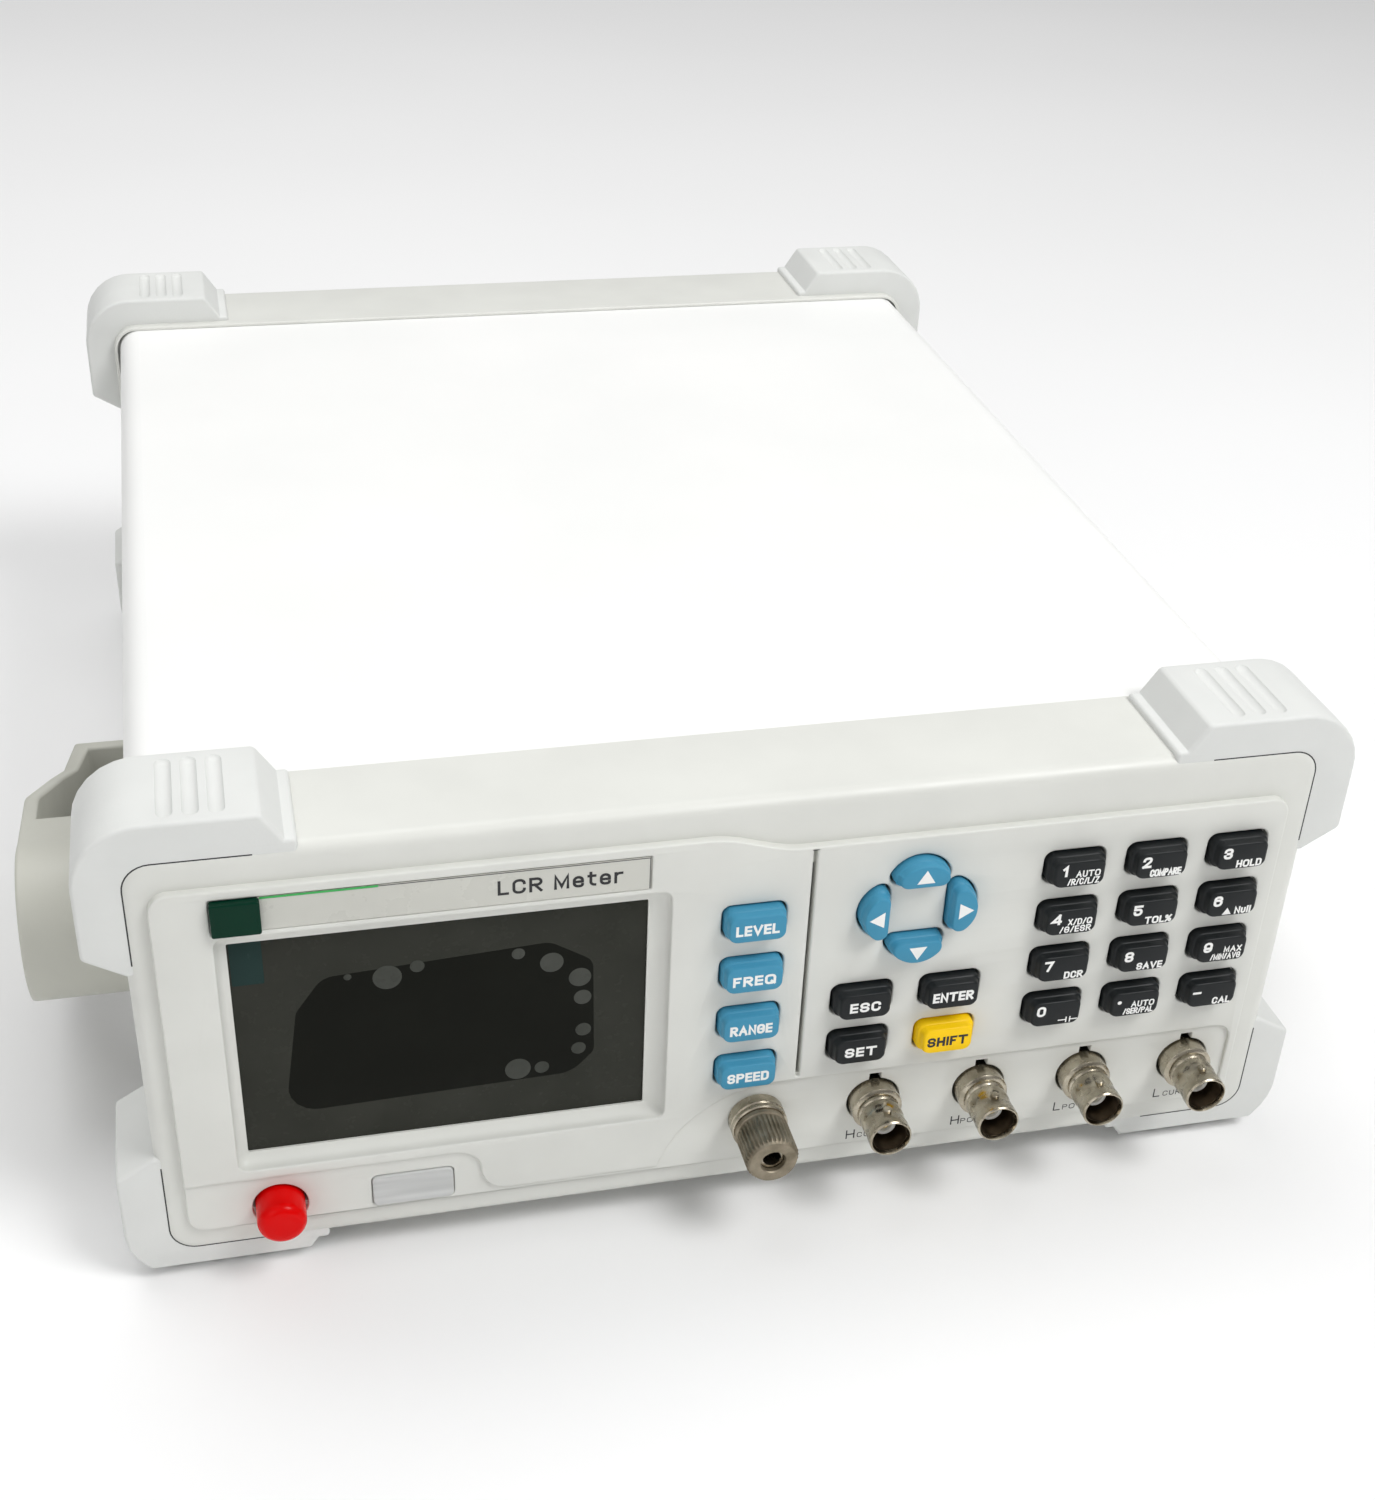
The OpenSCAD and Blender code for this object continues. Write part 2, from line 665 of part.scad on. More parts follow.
// An L-shaped wrap around the upper right corner, as seen from the front
module bumper_outline() {
    difference() {
        union() {
            translate([half_w - bumper_leg_x + 1.5, frame_h])
                polygon([[0, 0], [5, bumper_t], [20, bumper_t], [20, 0]]);
            translate([half_w, frame_h - bumper_leg_z])
                polygon([[0, 0], [bumper_side_t, 5], [bumper_side_t, 16], [0, 16]]);
            intersection() {
                translate([half_w - 15, frame_h - 15])
                    square([15 + bumper_side_t, 15 + bumper_t]);
                translate([half_w + bumper_side_t - 14, frame_h + bumper_t - 14]) circle(14);
            }
            translate([half_w - 15, frame_h - 8]) square([9.4, 8 + bumper_t]);
            translate([half_w - 8, frame_h - 15]) square([8 + bumper_side_t, 9.2]);
            translate([half_w - bumper_leg_x, frame_h]) square([20, 1.4]);
        }
        translate([0, mid_z]) rounded_rect(frame_w + 0.02, frame_h + 0.02, frame_r);
    }
}

// toe is a slant that is cut off the front edge of the leg along X
module bumper(y0, y1, toe = 0) {
    difference() {
        slab_y(y0, y1) bumper_outline();
        if (toe > 0)
            slab_x(half_w - bumper_leg_x - 1, half_w + bumper_side_t + 1)
                translate([y0, frame_h + bumper_t])
                    polygon([[-1, 1], [toe, 1], [toe, 0], [0, -toe], [-1, -toe]]);
        for (i = [0 : 2]) translate([half_w - 21.2 + i * 4.9, y0 + 3.5, frame_h + bumper_t - 0.7])
            cube([1.4, y1 - y0 - 7, 2]);
    }
}

module flip_z() {
    translate([0, 0, frame_h]) mirror([0, 0, 1]) children();
}

module bumper_pair(y0, y1, toe = 0) {
    bumper(y0, y1, toe);
    mirror([1, 0, 0]) bumper(y0, y1, toe);
}

module front_top_bumpers() color("whitesmoke") place() bumper_pair(0.5, 27);
module front_bottom_bumpers() color("whitesmoke") place() flip_z() bumper_pair(0.5, 27, 4);
module rear_bumpers() color("whitesmoke") place() {
    bumper_pair(frame_d - 27, frame_d - 0.5);
    flip_z() bumper_pair(frame_d - 27, frame_d - 0.5);
}

module cover_screws() color("silver") place() {
    for (sx = [-1, 1], sz = [-1, 1])
        translate([sx * screw_x, rear_panel_y, mid_z + sz * screw_z]) rotate([-90, 0, 0]) difference() {
            cylinder(h = 1.6, d = 6);
            translate([-2, -0.4, 0.8]) cube([4, 0.8, 1]);
        }
}

front_bezel();
rear_bezel();
top_cover();
bottom_tray();
rear_panel();
lcd_window();
lcd_module();
label_strip();
corner_badge();
status_window();
for (i = [0 : 3]) function_key(i);
for (k = ARROW_KEYS) arrow_key(k[1]);
for (i = [0 : 3]) edit_key(i, i == 3 ? "gold" : "dimgray");
for (i = [0 : 11]) entry_key(i);
keypad_board();
power_button();
power_switch();
bnc_shells();
bnc_insulators();
bnc_contacts();
ground_post();
clamp_ring();
ground_knob();
mains_inlet();
inlet_pins();
fuse_drawer();
voltage_selector();
voltage_slider();
serial_port();
usb_socket();
main_board();
mains_transformer();
tilt_arm_left();
tilt_arm_right();
tilt_bar();
pivot_bolts();
front_top_bumpers();
front_bottom_bumpers();
rear_bumpers();
cover_screws();
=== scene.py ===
import json
import math

import bmesh
import bpy
from mathutils import Matrix, Vector


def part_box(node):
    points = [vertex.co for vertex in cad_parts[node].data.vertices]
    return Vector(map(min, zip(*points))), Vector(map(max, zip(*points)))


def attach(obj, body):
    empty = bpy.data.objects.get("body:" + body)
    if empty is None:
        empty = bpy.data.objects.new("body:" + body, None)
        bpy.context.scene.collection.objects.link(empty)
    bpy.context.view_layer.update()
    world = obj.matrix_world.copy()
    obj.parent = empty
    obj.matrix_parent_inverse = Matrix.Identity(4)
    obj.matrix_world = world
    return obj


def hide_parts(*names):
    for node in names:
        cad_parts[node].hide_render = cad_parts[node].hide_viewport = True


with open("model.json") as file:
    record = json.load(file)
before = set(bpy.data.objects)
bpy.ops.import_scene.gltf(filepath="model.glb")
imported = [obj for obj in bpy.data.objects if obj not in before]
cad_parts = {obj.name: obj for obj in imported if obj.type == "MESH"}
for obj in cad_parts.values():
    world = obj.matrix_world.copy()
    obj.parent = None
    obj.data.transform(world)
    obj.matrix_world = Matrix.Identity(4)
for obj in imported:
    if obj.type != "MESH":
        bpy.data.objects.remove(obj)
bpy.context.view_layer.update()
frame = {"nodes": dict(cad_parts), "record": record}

MM = 0.001

# ---- The case's own measures, in millimetres ----
# X runs from the middle, Y from the front frame's face and Z from its underside.
PANEL_RAISE = 2.0
FRONT_LOW, FRONT_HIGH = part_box("front_bezel")
FACE_Y = FRONT_LOW.y + PANEL_RAISE * MM
BASE_Z = FRONT_LOW.z
HALF_W = FRONT_HIGH.x / MM
CASE_H = (FRONT_HIGH.z - FRONT_LOW.z) / MM
FRAME_R = 7.0
WALL = 3.0
LIP = 0.9


def place(x, y, z):
    """A point of the case, in the frame's metres."""
    return Vector((x * MM, FACE_Y + y * MM, BASE_Z + z * MM))


def case_box(node):
    """A CAD node's lowest and highest corners, in the case's millimetres."""
    low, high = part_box(node)
    origin = Vector((0, FACE_Y, BASE_Z))
    return (low - origin) / MM, (high - origin) / MM


def middle(node):
    low, high = case_box(node)
    return (low + high) / 2


# The panel's steps: the raised face, and the recesses in it
PANEL_Y = -PANEL_RAISE
RECESS_Y = PANEL_Y + 0.8
PANEL_LEFT, PANEL_RIGHT = -121.5, 120.0
PANEL_LOW, PANEL_TOP = 7.0, 95.6
KEYPAD_TOP = 91.5
PANEL_R = 4.0
DIVIDER_X = 12.4
STRIP_END, STRIP_Z, LEDGE_Z = -58.5, 20.5, 8.7
RECESS_X, RECESS_Z, RECESS_R, RECESS_RIGHT = 8.0, 29.0, 28.0, 118.0


# ---- Outlines ----

def arc(x, z, r, start, end, steps=8):
    """Points along an arc about (x, z), between two angles in degrees."""
    angles = [math.radians(start + (end - start) * i / steps) for i in range(steps + 1)]
    return [(x + r * math.cos(a), z + r * math.sin(a)) for a in angles]


def wave(x0, z0, x1, z1, steps=14):
    """Points along an S that is level at both ends."""
    ramp = [i / steps for i in range(steps + 1)]
    return [(x0 + (x1 - x0) * t, (z0 + z1) / 2 + (z0 - z1) / 2 * math.cos(math.pi * t)) for t in ramp]


def rounded(x0, x1, z0, z1, r, steps=6):
    """Points round a rectangle with rounded corners."""
    return (arc(x1 - r, z1 - r, r, 0, 90, steps) + arc(x0 + r, z1 - r, r, 90, 180, steps)
            + arc(x0 + r, z0 + r, r, 180, 270, steps) + arc(x1 - r, z0 + r, r, 270, 360, steps))


def filleted(corners, steps=6):
    """A closed outline through corners (x, z, r), each rounded with its own radius."""
    points = []
    for i, (x, z, r) in enumerate(corners):
        here = Vector((x, z))
        back = (Vector(corners[i - 1][:2]) - here).normalized()
        ahead = (Vector(corners[(i + 1) % len(corners)][:2]) - here).normalized()
        half = back.angle(ahead) / 2
        reach = r / math.tan(half)
        a = here + back * reach
        b = here + ahead * reach
        centre = here + (back + ahead).normalized() * (r / math.sin(half))
        for k in range(steps + 1):
            t = k / steps
            point = a.lerp(b, t) - centre
            points.append(tuple(centre + point.normalized() * r))
    return points


def disc(x, z, r, steps=48):
    return arc(x, z, r, 0, 360 - 360 / steps, steps - 1)


# ---- Mesh building ----

def as_object(name, mesh, material, body, replaces=(), sharp=35):
    """A shown piece: it rides on a body, and may stand for CAD nodes."""
    mesh.materials.clear()
    mesh.materials.append(material)
    mesh.shade_smooth()
    mesh.set_sharp_from_angle(angle=math.radians(sharp))
    piece = bpy.data.objects.new(name, mesh)
    bpy.context.scene.collection.objects.link(piece)
    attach(piece, body)
    if replaces:
        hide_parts(*replaces)
    return piece


def mesh_from(build):
    """A mesh from a bmesh, with its faces turned outwards."""
    bmesh.ops.recalc_face_normals(build, faces=build.faces)
    mesh = bpy.data.meshes.new("piece")
    build.to_mesh(mesh)
    build.free()
    return mesh


def loft(rings, joined=False):
    """A skin over rings of case points. Its ends are capped, or joined into a hoop."""
    build = bmesh.new()
    loops = [[build.verts.new(place(*p)) for p in ring] for ring in rings]
    following = loops[1:] + loops[:1] if joined else loops[1:]
    for a, b in zip(loops, following):
        for i in range(len(a)):
            j = (i + 1) % len(a)
            build.faces.new((a[i], a[j], b[j], b[i]))
    if not joined:
        build.faces.new(loops[0])
        build.faces.new(loops[-1])
    return mesh_from(build)


def ring(outline, y):
    return [(x, y, z) for x, z in outline]


def lathe(x, z, profile, joined=False, steps=64):
    """A turned piece about an axis along Y: the profile is a list of (radius, y)."""
    return loft([ring(disc(x, z, r, steps), y) for r, y in profile], joined)


def evaluated(source):
    """The mesh that an object's modifiers or curve settings make. The object is used up."""
    bpy.context.scene.collection.objects.link(source)
    graph = bpy.context.evaluated_depsgraph_get()
    mesh = bpy.data.meshes.new_from_object(source.evaluated_get(graph))
    bpy.data.objects.remove(source)
    return mesh


def stand_up(mesh, y):
    """Turns a flat mesh in millimetres to face the front at y, and welds it."""
    turn = Matrix.Rotation(math.radians(90), 4, "X")
    mesh.transform(Matrix.Translation(place(0, y, 0)) @ Matrix.Scale(MM, 4) @ turn)
    build = bmesh.new()
    build.from_mesh(mesh)
    bmesh.ops.remove_doubles(build, verts=build.verts, dist=1e-7)
    return mesh_from(build)


def plate(outlines, y0, y1, bevel, inset=0.0, steps=3):
    """A plate between y0 and y1. Outlines that lie inside another are holes. Its edges are rounded."""
    curve = bpy.data.curves.new("outline", "CURVE")
    curve.dimensions = "2D"
    curve.fill_mode = "BOTH"
    curve.extrude = (y1 - y0) / 2 - bevel
    curve.bevel_depth = bevel
    curve.bevel_resolution = steps
    curve.offset = -bevel - inset
    for outline in outlines:
        spline = curve.splines.new("POLY")
        spline.points.add(len(outline) - 1)
        for point, (x, z) in zip(spline.points, outline):
            point.co = (x, z, 0, 1)
        spline.use_cyclic_u = True
    mesh = evaluated(bpy.data.objects.new("outline", curve))
    return stand_up(mesh, (y0 + y1) / 2)


def joined_mesh(meshes):
    build = bmesh.new()
    for mesh in meshes:
        build.from_mesh(mesh)
    mesh = bpy.data.meshes.new("piece")
    build.to_mesh(mesh)
    build.free()
    return mesh


def carved(mesh, cutter):
    """The mesh with the cutter taken away."""
    body = bpy.data.objects.new("body", mesh)
    tool = bpy.data.objects.new("tool", cutter)
    bpy.context.scene.collection.objects.link(tool)
    cut = body.modifiers.new("cut", "BOOLEAN")
    cut.operation = "DIFFERENCE"
    cut.solver = "EXACT"
    cut.object = tool
    result = evaluated(body)
    bpy.data.objects.remove(tool)
    return result


def softened(node, width, segments=2, angle=24):
    """A copy of a CAD node's mesh whose edges are rounded."""
    build = bmesh.new()
    build.from_mesh(frame["nodes"][node].data)
    bmesh.ops.remove_doubles(build, verts=build.verts, dist=1e-6)
    flat = math.radians(0.6)
    bmesh.ops.dissolve_limit(build, angle_limit=flat, verts=build.verts, edges=build.edges)
    sharp = [e for e in build.edges if e.is_manifold and e.calc_face_angle() > math.radians(angle)]
    bmesh.ops.bevel(build, geom=sharp, offset=width * MM, segments=segments, profile=0.6,
                    affect="EDGES", clamp_overlap=True)
    return mesh_from(build)


# ---- Materials ----

def linked(tree, kind, **inputs):
    """A shader node whose inputs are set to values or linked to other nodes' outputs."""
    node = tree.nodes.new(kind)
    for name, value in inputs.items():
        socket = node.inputs[name.replace("_", " ")]
        if isinstance(value, bpy.types.NodeSocket):
            tree.links.new(value, socket)
        else:
            socket.default_value = value
    return node


def noise(tree, scale, detail=3.0, stretch=None):
    """Noise over the object's own coordinates, in grains per metre."""
    where = tree.nodes.new("ShaderNodeTexCoord").outputs["Object"]
    if stretch:
        where = linked(tree, "ShaderNodeMapping", Vector=where, Scale=stretch).outputs[0]
    grain = linked(tree, "ShaderNodeTexNoise", Vector=where, Scale=scale, Detail=detail)
    return grain.outputs["Fac"]


def ranged(tree, value, low, high):
    spread = linked(tree, "ShaderNodeMapRange", Value=value, To_Min=low, To_Max=high)
    spread.inputs["From Min"].default_value = 0.3
    spread.inputs["From Max"].default_value = 0.7
    return spread.outputs[0]


def tinted(tree, value, dark, light):
    ramp = tree.nodes.new("ShaderNodeValToRGB")
    ramp.color_ramp.elements[0].position = 0.3
    ramp.color_ramp.elements[1].position = 0.7
    ramp.color_ramp.elements[0].color = (*dark, 1)
    ramp.color_ramp.elements[1].color = (*light, 1)
    tree.links.new(value, ramp.inputs[0])
    return ramp.outputs[0]


def shader(name, **values):
    """A new material, its node tree and its main shader."""
    made = bpy.data.materials.new(name)
    made.use_nodes = True
    tree = made.node_tree
    main = tree.nodes["Principled BSDF"]
    for key, value in values.items():
        main.inputs[key.replace("_", " ")].default_value = value
    return made, tree, main


def shade(colour, factor):
    return tuple(min(1.0, c * factor) for c in colour)


def moulded(name, colour, rough=0.45, grain=1400, depth=0.06, blotch=0.03, **extra):
    """Moulded plastic or rubber: spark-eroded grain, faint blotches and uneven gloss."""
    made, tree, main = shader(name, **extra)
    fine = noise(tree, grain, 4)
    broad = noise(tree, 45, 3)
    worn = tinted(tree, broad, shade(colour, 1 - blotch), shade(colour, 1 + blotch))
    tree.links.new(worn, main.inputs["Base Color"])
    gloss = ranged(tree, noise(tree, 120, 4), rough - 0.06, rough + 0.06)
    tree.links.new(gloss, main.inputs["Roughness"])
    bump = linked(tree, "ShaderNodeBump", Height=fine, Strength=depth, Distance=0.0002)
    tree.links.new(bump.outputs[0], main.inputs["Normal"])
    return made


def plated(name, dark, light, rough=0.3, stretch=(1, 0.06, 1)):
    """Plated metal with turning marks and a little tarnish."""
    made, tree, main = shader(name, Metallic=1.0)
    tree.links.new(tinted(tree, noise(tree, 260, 5), dark, light), main.inputs["Base Color"])
    marks = noise(tree, 2600, 2, stretch)
    gloss = ranged(tree, noise(tree, 420, 4), rough - 0.1, rough + 0.12)
    tree.links.new(gloss, main.inputs["Roughness"])
    bump = linked(tree, "ShaderNodeBump", Height=marks, Strength=0.12, Distance=0.0001)
    tree.links.new(bump.outputs[0], main.inputs["Normal"])
    return made


def powder_coat():
    """The cover's white powder coat: a fine orange peel."""
    made, tree, main = shader("cover_paint", Specular_IOR_Level=0.4)
    tone = tinted(tree, noise(tree, 14, 2), (0.86, 0.865, 0.85), (0.9, 0.9, 0.885))
    tree.links.new(tone, main.inputs["Base Color"])
    tree.links.new(ranged(tree, noise(tree, 300, 3), 0.42, 0.52), main.inputs["Roughness"])
    peel = linked(tree, "ShaderNodeTexVoronoi", Scale=900)
    peel.feature = "SMOOTH_F1"
    tree.links.new(tree.nodes.new("ShaderNodeTexCoord").outputs["Object"], peel.inputs["Vector"])
    bump = linked(tree, "ShaderNodeBump", Height=peel.outputs["Distance"], Strength=0.1, Distance=0.0001)
    tree.links.new(bump.outputs[0], main.inputs["Normal"])
    return made


def film(name, dark, light, rough):
    """A sheet of plastic over the display, with faint haze."""
    made, tree, main = shader(name, Specular_IOR_Level=0.06)
    tree.links.new(tinted(tree, noise(tree, 60, 5), dark, light), main.inputs["Base Color"])
    haze = ranged(tree, noise(tree, 500, 3), rough - 0.05, rough + 0.08)
    tree.links.new(haze, main.inputs["Roughness"])
    return made


def frosted():
    """The status window's translucent plastic, with fine moulded lines."""
    made, tree, main = shader("frosted_plastic", Transmission_Weight=0.25, IOR=1.45)
    lines = noise(tree, 700, 1, (0.05, 1, 1))
    tree.links.new(tinted(tree, lines, (0.66, 0.67, 0.66), (0.8, 0.81, 0.8)), main.inputs["Base Color"])
    tree.links.new(ranged(tree, noise(tree, 900, 2), 0.3, 0.45), main.inputs["Roughness"])
    bump = linked(tree, "ShaderNodeBump", Height=lines, Strength=0.25, Distance=0.0002)
    tree.links.new(bump.outputs[0], main.inputs["Normal"])
    return made


def circuit():
    """Solder mask with the pattern of tracks under it."""
    made, tree, main = shader("circuit_board", Coat_Weight=0.4)
    cells = linked(tree, "ShaderNodeTexVoronoi", Scale=420)
    tree.links.new(tree.nodes.new("ShaderNodeTexCoord").outputs["Object"], cells.inputs["Vector"])
    cells.distance = "MANHATTAN"
    tone = tinted(tree, cells.outputs["Distance"], (0.02, 0.16, 0.06), (0.01, 0.08, 0.03))
    tree.links.new(tone, main.inputs["Base Color"])
    tree.links.new(ranged(tree, noise(tree, 300, 3), 0.25, 0.4), main.inputs["Roughness"])
    return made


CASE = moulded("case_plastic", (0.7, 0.705, 0.665), 0.42, depth=0.05)
RUBBER = moulded("bumper_rubber", (0.71, 0.72, 0.7), 0.6, grain=1800, depth=0.12)
STAND = moulded("stand_plastic", (0.56, 0.56, 0.5), 0.5, grain=1600, depth=0.1)
COVER = powder_coat()
REAR = moulded("panel_paint", (0.72, 0.73, 0.71), 0.5, grain=1100, depth=0.08)
SATIN = dict(Specular_IOR_Level=0.25)
DEEP = dict(Specular_IOR_Level=0.12)
BLUE = moulded("blue_silicone", (0.055, 0.28, 0.44), 0.45, grain=2200, depth=0.08, **SATIN)
DARK = moulded("dark_silicone", (0.0085, 0.0105, 0.0115), 0.42, grain=2200, depth=0.08, **SATIN)
YELLOW = moulded("yellow_silicone", (1.0, 0.62, 0.0), 0.45, grain=2200, depth=0.08, **SATIN)
RED = moulded("red_plastic", (0.72, 0.0005, 0.0005), 0.18, grain=900, depth=0.01, **DEEP)
GREEN = moulded("green_plastic", (0.0, 0.028, 0.014), 0.2, grain=700, depth=0.02, **DEEP)
BLACK = moulded("black_plastic", (0.02, 0.02, 0.021), 0.4)
WHITE = moulded("white_plastic", (0.8, 0.8, 0.76), 0.4)
INK_WHITE = moulded("white_ink", (0.88, 0.88, 0.86), 0.55, grain=3000)
INK_BLACK = moulded("black_ink", (0.012, 0.012, 0.014), 0.5, grain=3000)
INK_GREY = moulded("grey_ink", (0.1, 0.1, 0.1), 0.5, grain=3000)
GREEN_LINE = moulded("green_film", (0.03, 0.4, 0.08), 0.3, grain=900)
LABEL = moulded("label_film", (0.58, 0.58, 0.53), 0.3, grain=1500, depth=0.03, Coat_Weight=0.15)
NICKEL = plated("nickel", (0.3, 0.265, 0.2), (0.56, 0.51, 0.41), 0.24)
KNURLED = plated("knurled_nickel", (0.2, 0.17, 0.12), (0.4, 0.35, 0.27), 0.55)
SHADED_NICKEL = plated("shaded_nickel", (0.1, 0.075, 0.05), (0.2, 0.15, 0.1), 0.42)
GOLD = plated("gold_contact", (0.7, 0.55, 0.28), (0.85, 0.7, 0.4), 0.25)
STEEL = plated("transformer_steel", (0.25, 0.24, 0.22), (0.4, 0.38, 0.35), 0.5, (1, 1, 0.05))
SCREEN = film("screen_glass", (0.03, 0.031, 0.025), (0.039, 0.04, 0.033), 0.22)
WETTED = film("wetted_film", (0.0065, 0.007, 0.005), (0.0078, 0.0084, 0.006), 0.12)
BUBBLE = film("bubble_film", (0.046, 0.049, 0.042), (0.078, 0.081, 0.072), 0.3)
TAB_TINT = film("tinted_film", (0.016, 0.036, 0.033), (0.022, 0.044, 0.041), 0.2)
FROST = frosted()
BOARD = circuit()


# ---- Front frame and panel ----

def frame_ring(y, inset):
    r = max(FRAME_R - inset, 0.6)
    return ring(rounded(-HALF_W + inset, HALF_W - inset, inset, CASE_H - inset, r, 8), y)


def edge_rings(y, radius, way, inset=0.0, steps=6):
    """Rings round a frame's outer edge at y, from its side to its face; way is -1 at the front."""
    angles = [math.radians(90 * i / steps) for i in range(steps + 1)]
    return [frame_ring(y - way * radius * (1 - math.sin(a)), inset + radius * (1 - math.cos(a)))
            for a in angles]


def front_frame():
    depth = case_box("front_bezel")[1].y
    hidden = rounded(PANEL_LEFT + 5, PANEL_RIGHT - 5, PANEL_LOW + 4, KEYPAD_TOP - 5, 2, 8)
    rings = [frame_ring(depth - 6, WALL), frame_ring(depth - 6, LIP), frame_ring(depth, LIP)]
    rings += [frame_ring(depth, 0.35), frame_ring(depth - 0.35, 0)]
    rings += edge_rings(0, WALL, -1)
    rings += [ring(hidden, 0), ring(hidden, WALL), frame_ring(WALL, WALL)]
    as_object("front_frame", loft(rings, True), CASE, "case", ("front_bezel",))


def raised_outline():
    """The raised part of the panel, above the strip and the terminal recess."""
    low = math.degrees(math.asin((LEDGE_Z - RECESS_Z + RECESS_R) / RECESS_R))
    tip = RECESS_RIGHT - PANEL_RIGHT + PANEL_R
    turn = math.degrees(math.acos(tip / PANEL_R))
    return (arc(STRIP_END - 5.5, STRIP_Z - 5.5, 5.5, 90, 0)
            + arc(STRIP_END + 5.8, LEDGE_Z + 5.8, 5.8, 180, 270)
            + arc(RECESS_X, RECESS_Z - RECESS_R, RECESS_R, 180 - low, 90, 16)
            + arc(RECESS_RIGHT - 4, RECESS_Z - 4, 4, 90, 0)
            + arc(PANEL_RIGHT - PANEL_R, PANEL_LOW + PANEL_R, PANEL_R, -turn, 0, 4)
            + arc(PANEL_RIGHT - PANEL_R, KEYPAD_TOP - PANEL_R, PANEL_R, 0, 90)
            + wave(10, KEYPAD_TOP, -10, PANEL_TOP)
            + arc(PANEL_LEFT + PANEL_R, PANEL_TOP - PANEL_R, PANEL_R, 90, 180)
            + [(PANEL_LEFT, STRIP_Z)])


def base_outline():
    """The whole panel, at the depth of its recesses."""
    return (arc(PANEL_LEFT + PANEL_R, PANEL_LOW + PANEL_R, PANEL_R, 180, 270)
            + arc(PANEL_RIGHT - PANEL_R, PANEL_LOW + PANEL_R, PANEL_R, 270, 360)
            + arc(PANEL_RIGHT - PANEL_R, KEYPAD_TOP - PANEL_R, PANEL_R, 0, 90)
            + wave(10, KEYPAD_TOP, -10, PANEL_TOP)
            + arc(PANEL_LEFT + PANEL_R, PANEL_TOP - PANEL_R, PANEL_R, 90, 180))


# The keys by kind, each by what follows "key_" in its node's name; an arrow has its turn in degrees
FUNCTIONS = ["level", "freq", "range", "speed"]
EDITS = ["esc", "set", "enter", "shift"]
ENTRIES = ["1", "2", "3", "4", "5", "6", "7", "8", "9", "0", "point", "minus"]
ARROWS = {"up": 0, "left": 90, "down": 180, "right": 270}
KEY_FRONT = case_box("key_1")[0].y
KEY_R = 2.0
KEY_GAP = 0.4
FLANGE_X, FLANGE_Z = 1.1, 1.14


def key_size(name):
    """Half the width and height of a key's cap: its CAD box is the wider flange behind the panel."""
    low, high = case_box("key_" + name)
    return (high.x - low.x) / 2 / FLANGE_X, (high.z - low.z) / 2 / FLANGE_Z


def key_outline(name, inset_x, inset_z=None):
    at = middle("key_" + name)
    w, h = key_size(name)
    w -= inset_x
    h -= inset_x if inset_z is None else inset_z
    return rounded(at.x - w, at.x + w, at.z - h, at.z + h, KEY_R - inset_x * 0.3)


RING_X = middle("key_up").x
RING_Z = middle("key_left").z
ARROW_R, ARROW_T = 7.0, 6.4
RING_R = middle("key_up").z - RING_Z + ARROW_T / 2


def arrow_outline(turn, inset):
    """An arrow key: flat towards the ring's middle, an arc outside, and smaller arcs between."""
    big = ARROW_R - inset
    small = 2.0 - inset * 0.4
    low = RING_R - ARROW_T + inset + small
    rise = low - (RING_R - ARROW_R)
    side = math.sqrt((big - small) ** 2 - rise ** 2)
    meet = math.degrees(math.atan2(rise, side))
    points = arc(0, RING_R - ARROW_R, big, meet, 180 - meet, 14)
    points += arc(-side, low, small, 180 - meet, 270)
    points += arc(side, low, small, 270, 360 + meet)
    a = math.radians(turn)
    return [(RING_X + x * math.cos(a) - z * math.sin(a), RING_Z + x * math.sin(a) + z * math.cos(a))
            for x, z in points]


def socket_hole(x, z, r, notch=1.35, rise=1.5):
    """A round hole with a key notch at its top."""
    start = math.degrees(math.asin(notch / r))
    top = z + r + rise
    return arc(x, z, r, 90 + start, 450 - start, 40) + [(x + notch, top), (x - notch, top)]


SOCKET_LOW, SOCKET_HIGH = case_box("bnc_shells")
SOCKET_NUT = 7.0
SOCKET_R = 4.85
SOCKET_HOLE_R = 6.2
SOCKETS = 4
SOCKET_PITCH = (SOCKET_HIGH.x - SOCKET_LOW.x - 2 * SOCKET_NUT) / (SOCKETS - 1)
SOCKET_XS = [SOCKET_LOW.x + SOCKET_NUT + i * SOCKET_PITCH for i in range(SOCKETS)]
TERMINAL_Z = middle("ground_knob").z
POST_X = middle("ground_knob").x
BUTTON = middle("power_button")
STATUS = middle("status_window")
# The status window's flange lies behind the panel: how much of its width and height that hides
STATUS_HIDDEN_X, STATUS_HIDDEN_Z = 3, 2
STATUS_W = case_box("status_window")[1].x - case_box("status_window")[0].x - STATUS_HIDDEN_X
STATUS_H = case_box("status_window")[1].z - case_box("status_window")[0].z - STATUS_HIDDEN_Z
BUTTON_R = (case_box("power_button")[1].x - case_box("power_button")[0].x) / 2

# The display's opening, and how far its sloping surround reaches beyond it on each side
GLASS = case_box("lcd_window")
GLASS_HIDDEN = 1.8
VIEW = (GLASS[0].x + GLASS_HIDDEN, GLASS[1].x - GLASS_HIDDEN,
        GLASS[0].z + GLASS_HIDDEN, GLASS[1].z - GLASS_HIDDEN)
SURROUND = (-2.3, 4.2, -2.4, 3.6)
GLASS_Y = GLASS[0].y


def surround_outline(share, grow=0.0):
    """The display's surround between its opening, at 0, and its outer edge, at 1."""
    x0, x1, z0, z1 = [v + share * s for v, s in zip(VIEW, SURROUND)]
    return rounded(x0 - grow, x1 + grow, z0 - grow, z1 + grow, 0.4 + 1.6 * share, 5)


